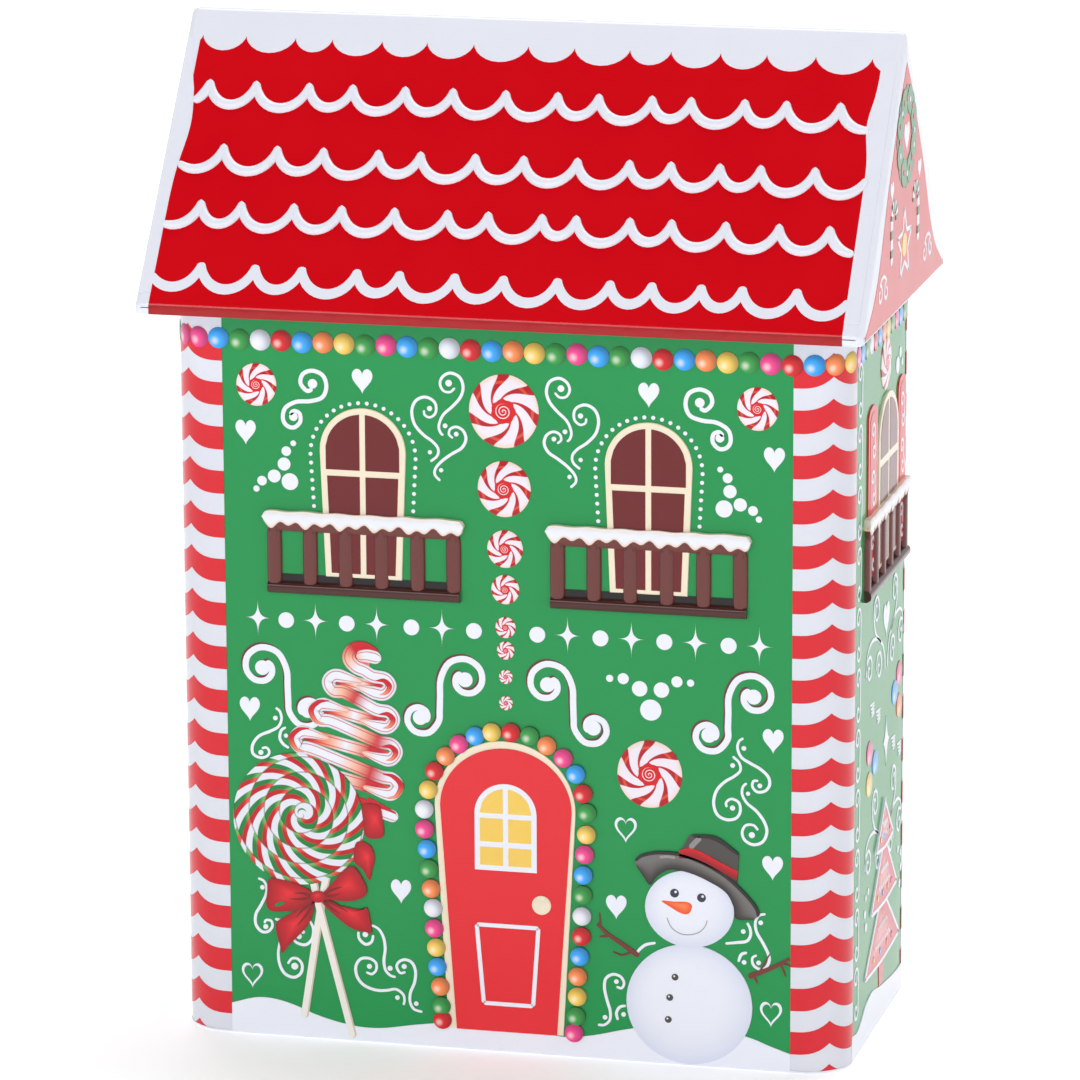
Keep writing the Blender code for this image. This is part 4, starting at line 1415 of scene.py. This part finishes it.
# Where the scroll border by the front corner runs, with its top, its pitch and its turns
BORDER_EDGE = -22.6
BORDER_TOP = 143.3
BORDER_PITCH = 12.6
BORDER_TURNS = 11
# The curls of the upper half of a side wall, and how much higher or lower they are drawn
CURL_SHIFTS = (0.0, -41.0)
SIDE_CURLS = (
    ((-3.2, 90.6), (-4.6, 91.2), (-5.4, 89.6), (-3.8, 87.9), (-1.6, 88.9), (-1.6, 91.4), (-3.6, 92.9),
     (-6.3, 91.5), (-6.4, 88), (-4.2, 85), (-0.5, 83), (3.2, 80.8), (5.2, 77.6), (5.4, 75.2)),
    ((-10.6, 79.4), (-11.8, 79.9), (-12.6, 78.7), (-11.2, 77.3), (-9.1, 78), (-8.7, 80.4), (-10.8, 82),
     (-13.8, 80.9), (-14.2, 78.4)),
    ((-14.4, 80), (-12.8, 83.2), (-8.6, 84.6), (-3.4, 84), (1, 82.2)),
    ((-0.4, 77.6), (-1.6, 78), (-2.2, 76.6), (-0.8, 75.4), (1.1, 76.3), (1.4, 78.6), (-0.4, 80.4),
     (-3, 79.7), (-3.6, 77.2)),
)
SIDE_SWEETS = (
    (-10.0, 61.5, "pink"), (-4.0, 58.0, "blue"), (-10.2, 55.0, "yellow"), (16.6, 67.5, "blue"),
    (21.4, 70.5, "pink"), (21.6, 63.5, "orange"),
)
SIDE_SPRIGS = ((-8.0, 70.0), (-1.5, 67.0), (15.0, 57.0), (21.6, 54.0))
SIDE_SPECKS = (
    (-13.0, 31.5, 0.7), (-10.3, 32.2, 0.8), (-13.8, 28.3, 0.9), (-12.6, 25.2, 1.0), (21.6, 32.2, 0.8),
    (24.2, 30.8, 0.7), (24.6, 27.4, 0.9), (23.6, 24.2, 1.0), (16.6, 137.0, 1.8), (19.4, 139.2, 1.2),
    (21.4, 136.8, 0.8),
)
# The cookie tree's tiers from the top, as (apex, foot, half width)
TREE_TIERS = ((47.6, 38.4, 8.4), (40.4, 26.4, 13.2), (29.4, 14.2, 17.6))


class TIN_OT_side_print(Operator):
    """Build the art of both side walls: scroll border, curls, hearts, cookie tree and sweets"""

    bl_idname = "tin.side_print"
    bl_label = "Side wall art"

    def execute(self, context):
        ink = Inks(context)
        lines, sweets, mint = (Form(*SIDE_WALLS) for _ in range(3))
        top = 2 * LAYER
        for number in range(BORDER_TURNS):
            y, z = BORDER_EDGE, BORDER_TOP - BORDER_PITCH * number
            path = scroll(
                (y, z, 2.3, 0, 1.1, -1), ((y + 2.2, z - 2.4),), (y + 0.2, z - 7.1, 2.2, 30, 1.1, -1),
            )
            lines.stroke(path, 0.6, top, ink.white)
        for shift in CURL_SHIFTS:
            for points in SIDE_CURLS:
                curl = smooth(points, 5) + (0, shift)
                mirrored = (curl - (SIDE_MIDDLE, 0)) * (-MIRRORED_WIDTH, 1) + (SIDE_MIDDLE, 0)
                for path in (curl, mirrored):
                    lines.stroke(path, (0.5, 0.75, 0.6), top, ink.white)
        lines.plate(heart(SIDE_MIDDLE, 85.5, 6.4, 7.2), top, ink.white)
        lines.plate(star(7.5, 59.5, 3.2, 5.4, 3.2), top, ink.white)
        for y, z, radius in SIDE_SPECKS:
            lines.plate(disc(y, z, radius, 14), top, ink.white)
        for y, z in SIDE_SPRIGS:
            for number in range(4):
                lean = 0.75 * number - 1.1
                needle = ((y - 2.2 + 0.5 * number, z + 1.5 - 0.9 * number),
                          (y + 0.3, z + 1.2 - 0.8 * number), (y + 2.3, z + 0.2 - 0.9 * lean))
                lines.stroke(smooth(needle, 4), (0.3, 0.7, 0.4), top, ink.white)
        cookie, iced = linear((0.83, 0.22, 0.26)), linear((0.93, 0.52, 0.52))
        trunk = np.array(((1.2, 14), (6.2, 14), (5.8, 8.0), (1.8, 8.0)))
        lines.glow(trunk, (3.8, 11), top, (cookie, cookie))
        for number, (apex, foot, half) in enumerate(TREE_TIERS[::-1]):
            height = (3 + 2 * number) * LAYER
            x = 4.4 if number == 0 else 5.6
            right_side = np.array((
                (0, apex), (1.0, apex - 1.6), (half - 1.4, foot + 1.6), (half, foot),
                (half - 2.2, foot - 0.4), (0, foot - 1.0),
            ))
            left_side = right_side[-2:0:-1] * (-1, 1)
            tier = smooth(np.vstack((right_side, left_side)) + (x, 0), 5, closed=True)
            lines.glow(tier, (x, foot + (apex - foot) * 0.35), height, (cookie, cookie, iced, iced))
            lines.outline(tier, 0.75, height + LAYER, ink.white)
            wave_x = np.linspace(-0.62 * half, 0.62 * half, 25)
            for share in (0.22, 0.45):
                level = foot + (apex - foot) * share
                wave = np.stack((
                    x + wave_x * (1 - share * 1.15), level + 0.7 * np.sin(wave_x * 2.3),
                ), -1)
                lines.stroke(wave, 0.45, height + LAYER, ink.white)
            for share, name in ((-0.5, "yellow"), (-0.1, "blue"), (0.3, "orange"), (0.6, "pink")):
                drop = disc(x + share * half, foot + 1.5, 0.75, 12)
                sweets.plate(drop, height + 1.5 * LAYER, getattr(ink, name))
        for y, z, name in SIDE_SWEETS:
            sweets.plate(oval(y, z, 3.1, 2.6, -8, 28), top, getattr(ink, name), crown=0.1)
        mint.plate(disc(4.2, 140.0, 5.4, 40), top, ink.white, crown=0.3)
        lines.piece("side_print", print_finish(), BODY_SLOT)
        sweets.piece("side_sweets", bead_finish(), BODY_SLOT)
        mint.piece("side_peppermints", mint_finish(), BODY_SLOT)
        return {"FINISHED"}


SIDE_WINDOW = 5.8
SIDE_SPRING = 124.5
SHUTTERS = ((-14.6, -5.2), (16.8, 24.8))


class TIN_OT_side_windows(Operator):
    """Build the wide window of each side wall with its shutters"""

    bl_idname = "tin.side_windows"
    bl_label = "Side windows"

    def execute(self, context):
        ink = Inks(context)
        rise = context.scene.tin_sizes.frame_rise / MM
        form = Form(*SIDE_WALLS)
        surround = arch(SIDE_WINDOW, 20.4, 20.0, 98.6, SIDE_SPRING, 133.8)
        form.plate(surround, rise, ink.cream, bevel=0.2)
        glass = rise + LAYER
        for side in (-1, 1):
            y = np.linspace(0.8, 8.7, 12)
            over = SIDE_SPRING + 7.9 * np.sqrt(1 - (y / 8.8) ** 2)
            form.band(SIDE_WINDOW + side * y, 121.3, over, flat(glass), ink.pane)
            form.band(SIDE_WINDOW + side * y[[0, -1]], 99.6, 119.6, flat(glass), ink.pane)
        for low, high in SHUTTERS:
            middle, width = (low + high) / 2, high - low
            shutter = arch(middle, width, width, 98.6, 131.6, 134.2, 16)
            form.plate(shutter, rise * 0.6, ink.ruby, bevel=0.15)
            field = arch(middle + 0.5, width - 2.2, width - 2.2, 100.0, 130.8, 132.8, 16)
            form.plate(field, rise * 0.6 + LAYER, ink.stripe)
            for z in (127.0, 117.2, 103.6):
                curl = scroll(
                    (middle - 0.4, z + 1.9, 1.7, 0, 1.0, -1), ((middle + 1.3, z),),
                    (middle + 0.4, z - 2.2, 1.7, 0, 1.0, -1),
                )
                form.stroke(curl, 0.6, rise * 0.6 + 2 * LAYER, ink.white)
        form.piece("side_windows", print_finish(), BODY_SLOT)
        return {"FINISHED"}


# The lid

# How far over the lid's foot the slopes' sheet starts. The hem lies below it.
SHEET_FOOT = 1.3


class TIN_OT_lid(Operator):
    """Build the roof lid's shell, which is the slopes' own section carried from gable to gable
    with quarter-round edges, and the hem round its foot"""

    bl_idname = "tin.lid"
    bl_label = "Lid shell"

    def execute(self, context):
        ink = Inks(context)
        front, back = SLOPES
        way = np.concatenate((
            [-FLANGE_TOP + LID_FOOT + SHEET_FOOT, -BEND_REACH], np.linspace(-BEND_REACH, BEND_REACH, 6)[1:],
            np.linspace(BEND_REACH, SLOPE_LENGTH - RIDGE_REACH, 12)[1:],
            np.linspace(SLOPE_LENGTH - RIDGE_REACH, ROOF_TOP, 6)[1:],
        ))
        turn = np.linspace(0, np.pi / 2, 5)
        ends = np.stack((
            LID_HALF_WIDTH - LID_EDGE * (1 - np.sin(turn)), -LID_EDGE * (1 - np.cos(turn)),
        ), -1)[::-1]
        sections = np.vstack((ends, ends[::-1] * (-1, 1)))
        rings = []
        for x, out in sections:
            out = np.full(len(way), out)
            rings.append(np.vstack((front(x, way, out), back(-x, way, out)[::-1][1:])))
        form = Form(lambda x, y, z: np.stack((x, y, z), -1))
        form.loft(np.array(rings), ink.white)
        hem = np.array((
            (0, 154.6), (0, 153.4), (-0.25, 153.12), (-0.7, 153.1), (-1.15, 153.12), (-1.4, 153.4),
            (-1.4, 154.6),
        ))
        angle = np.concatenate([np.linspace(k, k + 1, 6) for k in range(4)]) * np.pi / 2
        quarter = np.repeat(np.arange(4), 6)
        side_x = np.array((1, -1, -1, 1))[quarter] * (LID_HALF_WIDTH - LID_EDGE)
        side_y = np.array((1, 1, -1, -1))[quarter] * (LID_HALF_DEPTH - LID_EDGE)
        reach = LID_EDGE + hem[:, :1]
        rings = np.stack(np.broadcast_arrays(
            side_x + reach * np.cos(angle), side_y + reach * np.sin(angle), hem[:, 1:],
        ), -1)
        form.loft(rings, ink.white, joined=True)
        shell = form.piece("lid_shell", print_finish(), LID_SLOT)
        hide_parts("roof_lid")
        return {"FINISHED"}


RED_EDGES = (-71.5, 70.5)
BORDER_EDGES = (-74.0, 73.5)
# Factor that darkens the flange's red below the bend: painted shade, for the dimmer light on the upright
# flange
HEM_PAINTED_SHADE = 0.62
# The scalloped top edge of the red field: its height up the slope and its sag
CAP_HEIGHT = 62.4
CAP_SAG = 3.6
# The red field's height that its profile's shares are reckoned on
FIELD = 60.0
# Each row of icing: the height of its cusps up the slope, whether it is raised, and its cusps
ICING_ROWS = (
    (51.8, True, (-67.5, -57.7, -46.5, -37.3, -26.3, -16.3, -5.3, 5.5, 14, 25, 33, 44, 52.5, 63.5)),
    (37.0, True, (-62, -50.7, -41, -29.5, -20.7, -9.3, 0.7, 11.8, 22.5, 31, 41, 49.3, 60.3)),
    (24.0, True, (-64.5, -56, -45, -35, -24, -13, -4.6, 6.5, 13.5, 24.5, 33, 44, 54.8, 65)),
    (10.0, False, (-62, -50.7, -41, -29.5, -20.7, -9.3, 0.7, 11.8, 22.5, 31, 41, 49.3, 60.3)),
)
CAP_CUSPS = (-71, -61.8, -51.3, -43.5, -33, -23.5, -13.7, -2.3, 7.3, 18.8, 27.3, 37.5, 47, 57, 68.5)


def swags(cusps, x_low, x_high):
    """Stations along a row of swags between two limits, close together near the cusps, and the
    sag at each: (4 s (1 - s))^0.62 at the share s of a swag's width, times the root of the width
    over 10."""
    cusps = np.concatenate(([cusps[0] - 11.5], cusps, [cusps[-1] + 11.5]))
    eased = 0.5 * np.cos(np.linspace(0, np.pi, 13))[:-1]
    share = np.concatenate([k + 0.5 - eased for k in range(len(cusps) - 1)])
    x = np.interp(share, np.arange(len(cusps)), cusps)
    x = np.unique(np.concatenate((x[(x > x_low) & (x < x_high)], [x_low, x_high])))
    number = np.clip(np.searchsorted(cusps, x, side="right") - 1, 0, len(cusps) - 2)
    width = cusps[number + 1] - cusps[number]
    share = (x - cusps[number]) / width
    return x, np.clip(4 * share * (1 - share), 0, 1) ** 0.62 * np.sqrt(width / 10)


ICING_WIDTHS = (1.45, 2.0, 2.2, 2.3, 2.2, 2.0, 1.45)
SWAG_START = 0.1
# The width of the swags that the borders cut off, and how far those reach into the borders
OUTER_SWAG = 11.0
OVERLAP = 0.6


def swag(low, high, crest):
    """The middle line of one swag: most of a half ellipse that hangs between two cusps, as
    (-cos t, -sin t) from just after its start to just before its end. Its depth is 5.5 mm on
    a swag 10 mm wide, and grows as the root of the width."""
    t = np.linspace(SWAG_START, math.pi - SWAG_START, 19)
    depth = 5.5 * math.sqrt((high - low) / 10)
    x = (low + high) / 2 - (high - low) / 2 * np.cos(t) / math.cos(SWAG_START)
    drop = (np.sin(t) - math.sin(SWAG_START)) / (1 - math.sin(SWAG_START))
    return np.stack((x, crest - depth * drop), -1)


def red_limits(up):
    """The left and right edges of a slope's red field at each height up the slope: straight
    lines that bell curves exp(-s^2) draw inwards, and on the left a lean outwards near the top."""
    left, right = RED_EDGES
    left = left + 1.5 * np.exp(-((up - 42) / 9) ** 2) - (up > 50) * (up - 50) / 8
    return left, right - 1.2 * np.exp(-((up - 47) / 6) ** 2)


class TIN_OT_roof_print(Operator):
    """Print the red field of each slope, with the scalloped cap and wavy borders left white"""

    bl_idname = "tin.roof_print"
    bl_label = "Roof print"

    def execute(self, context):
        ink = Inks(context)
        form = Form(*SLOPES)
        x, sag = swags(CAP_CUSPS, *RED_EDGES)
        low = FLANGE_TOP - LID_FOOT
        shares = np.concatenate((
            [0], np.linspace(low - BEND_REACH, low + BEND_REACH, 7) / FIELD, [0.3, 0.6, 1],
        ))
        profile = [(0, -SUNK), *((s, LAYER) for s in shares), (1, -SUNK)]
        # Rows below the bend lie on the hem, where the red is darkened as painted shade
        hem = np.array([s < low / FIELD for s, _ in profile])[:, None]
        inks = np.where(hem, ink.red * HEM_PAINTED_SHADE, ink.red)
        form.band(x, -low + 0.05, CAP_HEIGHT - CAP_SAG * sag, profile, inks)
        up = np.linspace(3.0, 62.0, 60)
        left, right = red_limits(up)
        for edges in ((BORDER_EDGES[0], left), (right, BORDER_EDGES[1])):
            form.band(up, *edges, flat(2 * LAYER), ink.white, upright=True)
        form.piece("roof_print", print_finish(), LID_SLOT)
        return {"FINISHED"}


class TIN_OT_icing(Operator):
    """Build the rows of icing swags on both slopes, three of them raised, with each swag cut off
    at the red field's edges"""

    bl_idname = "tin.icing"
    bl_label = "Icing swags"

    def execute(self, context):
        ink = Inks(context)
        rise = context.scene.tin_sizes.icing_rise / MM
        form = Form(*SLOPES)
        for crest, raised, cusps in ICING_ROWS:
            cusps = (cusps[0] - OUTER_SWAG, *cusps, cusps[-1] + OUTER_SWAG)
            for number, (low, high) in enumerate(zip(cusps, cusps[1:])):
                path = swag(low, high, crest)
                left, right = red_limits(path[:, 1])
                path = path[(path[:, 0] > left - OVERLAP) & (path[:, 0] < right + OVERLAP)]
                if len(path) < 4:
                    continue
                top = (2.25 + 0.25 * (number % 2)) * LAYER
                form.stroke(path, ICING_WIDTHS, top, ink.white, crown=rise if raised else 0.0)
        form.piece("icing_swags", print_finish(), LID_SLOT, sharp=60)
        return {"FINISHED"}


GABLE_EDGE = ((0.0, 49.5), (6.0, 43.0), (13.0, 33.8), (20.0, 24.0), (26.0, 14.0), (32.0, 7.0), (41.6, 0.9))


WREATH = (0.0, 34.5, 7.6)
GABLE_STAR = (-1.5, 12.6)
GABLE_HEARTS = ((-15.0, 25.6), (14.0, 25.4))
# The canes, as (across, side that the crook turns to), and the path of one from its foot
CANES = ((-15.0, 1), (13.0, -1))
CANE_LEVEL = 17.0
CANE = ((0, -6.2), (0, -2), (0, 2.4), (0.7, 4.6), (2.6, 5.6), (4.5, 4.6), (5.0, 2.6))


class TIN_OT_gables(Operator):
    """Print both gable ends: a red field in a white edge, with wreath, canes, hearts and star"""

    bl_idname = "tin.gables"
    bl_label = "Gable art"

    def execute(self, context):
        ink = Inks(context)
        form = Form(on_gable(), on_gable(True))
        edge = smooth(GABLE_EDGE, 6)
        half = np.vstack((edge[::-1] * (-1, 1), edge[1:]))
        form.band(half[:, 0], 0.6, half[:, 1], flat(LAYER), ink.red)
        top = 2 * LAYER
        leaf, fir = linear((0.1, 0.5, 0.22)), linear((0.05, 0.38, 0.16))
        for number, (x, z) in enumerate(disc(*WREATH, 16)):
            tuft = star(x, z, 3.0, 3.0, 1.2, 16)
            form.plate(tuft, top + (number % 2) * LAYER, leaf if number % 2 else fir)
            form.plate(disc(x, z, 0.6, 10), top + 2 * LAYER, ink.red if number % 3 else ink.white)
        form.plate(heart(0, 34.2, 5.6, 6.2), top, ink.white)
        for x, z in GABLE_HEARTS:
            form.plate(heart(x, z, 3.6, 4.0), top, ink.white)
        for x, sign in CANES:
            cane = smooth(CANE, 8) * (sign, 1) + (x, CANE_LEVEL)
            form.stroke(cane, 2.2, top, ink.white)
            for start in range(3, len(cane) - 3, 7):
                form.stroke(cane[start:start + 4], 2.2, top + LAYER, ink.green * 0.5, blunt=True)
        ray = np.arange(11) * math.pi / 5 + math.pi / 2
        reach = np.where(np.arange(11) % 2, 3.4, 7.6)[:, None]
        points = GABLE_STAR + reach * np.stack((np.cos(ray), np.sin(ray)), -1)
        for a, b in zip(points, points[1:]):
            form.stroke(np.linspace(a, b, 5), 0.9, top, ink.white)
        form.plate(disc(*GABLE_STAR, 2.4), top, ink.yellow)
        for sign in (-1, 1):
            curl = scroll(
                (sign * 26.6, 7.0, 2.2, 90, 1.0, -sign), ((sign * 23.5, 10.2),),
                (sign * 20.4, 6.8, 2.2, 90, 1.0, -sign),
            )
            form.stroke(curl, 0.7, top, ink.white)
        form.piece("gable_print", print_finish(), LID_SLOT)
        return {"FINISHED"}


# The stage


# How far the floor reaches from the tin, in metres
FLOOR_REACH = 4
# Each lamp: its name, where it hangs and its size, in metres, and its power in watts
LAMPS = (
    ("overhead", (0.1, 0.9, 2.0), (2.4, 1.6), 40),
    ("eaves", (-0.38, -1.5, 1.1), (1.6, 0.75), 12),
    ("side", (1.5, -0.9, 0.9), (0.8, 1.0), 3.8),
)
LAMPS_FACE = Vector((0, 0, 0.1))

# The photo's view: azimuth, elevation and roll in degrees, the point looked at and the distance
# to it in metres, the lens in millimetres, and its shift
VIEW_ANGLES = (13.971, 13.514, -0.2135)
VIEW_TARGET = Vector((0.00164, 0.0, 0.10055))
VIEW_DISTANCE = 1.3219
VIEW_LENS = 213.3
VIEW_SHIFT = (-0.0141, -0.0015)


class TIN_OT_stage(Operator):
    """Set up the pale floor, the soft lights and the camera"""

    bl_idname = "tin.stage"
    bl_label = "Stage"

    def execute(self, context):
        scene = context.scene
        span = np.linspace(-FLOOR_REACH, FLOOR_REACH, 9)
        x, y = np.meshgrid(span, span)
        points = np.stack((x, y, np.zeros_like(x)), -1).reshape(-1, 3)
        index = np.arange(x.size).reshape(x.shape)
        quads = np.stack((index[:-1, :-1], index[:-1, 1:], index[1:, 1:], index[1:, :-1]), -1)
        mesh = bpy.data.meshes.new("floor")
        mesh.from_pydata(points.tolist(), [], quads.reshape(-1, 4).tolist())
        finish = Finish("studio_floor")
        mottle = finish.noise(3, 2)
        finish.set(
            Base_Color=finish.scaled((0.93, 0.935, 0.95), 0.96 + mottle * 0.02),
            Roughness=0.7 + mottle * 0.1,
            Specular_IOR_Level=0.2,
            Emission_Color=(1.0, 1.0, 1.0),
            Emission_Strength=0.35,
        )
        mesh.materials.append(finish.material)
        floor = bpy.data.objects.new("floor", mesh)
        scene.collection.objects.link(floor)

        world = bpy.data.worlds.new("studio")
        world.use_nodes = True
        nodes = world.node_tree.nodes
        links = world.node_tree.links
        where = nodes.new("ShaderNodeTexCoord")
        parts = nodes.new("ShaderNodeSeparateXYZ")
        ramp = nodes.new("ShaderNodeValToRGB")
        stops = ((0.25, (1.0, 1.0, 1.0, 1)), (0.6, (0.03, 0.03, 0.035, 1)))
        for element, (position, colour) in zip(ramp.color_ramp.elements, stops):
            element.position = position
            element.color = colour
        links.new(where.outputs["Generated"], parts.inputs[0])
        links.new(parts.outputs["Z"], ramp.inputs[0])
        links.new(ramp.outputs[0], nodes["Background"].inputs["Color"])
        nodes["Background"].inputs["Strength"].default_value = 0.75
        scene.world = world
        scene.view_settings.view_transform = "Standard"

        for name, place, size, power in LAMPS:
            lamp = bpy.data.lights.new(name, "AREA")
            lamp.shape = "RECTANGLE"
            lamp.size, lamp.size_y = size
            lamp.energy = power
            obj = bpy.data.objects.new(name, lamp)
            obj.location = place
            obj.rotation_euler = (LAMPS_FACE - Vector(place)).to_track_quat("-Z", "Y").to_euler()
            scene.collection.objects.link(obj)

        azimuth, elevation, roll = (math.radians(angle) for angle in VIEW_ANGLES)
        away = Vector((
            math.sin(azimuth) * math.cos(elevation), -math.cos(azimuth) * math.cos(elevation),
            math.sin(elevation),
        ))
        right = (-away).cross(Vector((0, 0, 1))).normalized()
        up = right.cross(-away)
        right, up = (
            math.cos(roll) * right + math.sin(roll) * up,
            math.cos(roll) * up - math.sin(roll) * right,
        )
        data = bpy.data.cameras.new("photo_view")
        data.sensor_width = 36.0
        data.lens = VIEW_LENS
        data.shift_x, data.shift_y = VIEW_SHIFT
        data.clip_start, data.clip_end = 0.05, 50
        camera = bpy.data.objects.new("photo_view", data)
        matrix = Matrix((right, up, away)).transposed().to_4x4()
        matrix.translation = VIEW_TARGET + away * VIEW_DISTANCE
        camera.matrix_world = matrix
        scene.collection.objects.link(camera)
        scene.camera = camera
        return {"FINISHED"}


OPERATORS = (
    TIN_OT_stage, TIN_OT_box, TIN_OT_corners, TIN_OT_snow, TIN_OT_windows, TIN_OT_balconies,
    TIN_OT_door, TIN_OT_beads, TIN_OT_mints, TIN_OT_filigree, TIN_OT_candy_tree, TIN_OT_lollipop,
    TIN_OT_snowman, TIN_OT_side_print, TIN_OT_side_windows, TIN_OT_lid, TIN_OT_roof_print,
    TIN_OT_icing, TIN_OT_gables,
)


class TIN_PT_panel(Panel):
    """The tin's tab in the sidebar"""

    bl_idname = "TIN_PT_panel"
    bl_label = "Gingerbread house tin"
    bl_space_type = "VIEW_3D"
    bl_region_type = "UI"
    bl_category = "Tin"

    def draw(self, context):
        for group in (context.scene.tin_inks, context.scene.tin_sizes):
            for name in group.__annotations__:
                self.layout.prop(group, name)
        for operator in OPERATORS:
            self.layout.operator(operator.bl_idname)


CLASSES = (TinInks, TinSizes, *OPERATORS, TIN_PT_panel)


def register():
    for cls in CLASSES:
        bpy.utils.register_class(cls)
    bpy.types.Scene.tin_inks = PointerProperty(type=TinInks)
    bpy.types.Scene.tin_sizes = PointerProperty(type=TinSizes)


def unregister():
    del bpy.types.Scene.tin_sizes
    del bpy.types.Scene.tin_inks
    for cls in reversed(CLASSES):
        bpy.utils.unregister_class(cls)


def main():
    register()
    for operator in OPERATORS:
        getattr(bpy.ops.tin, operator.bl_idname.partition(".")[2])()


if __name__ == "__main__":
    main()
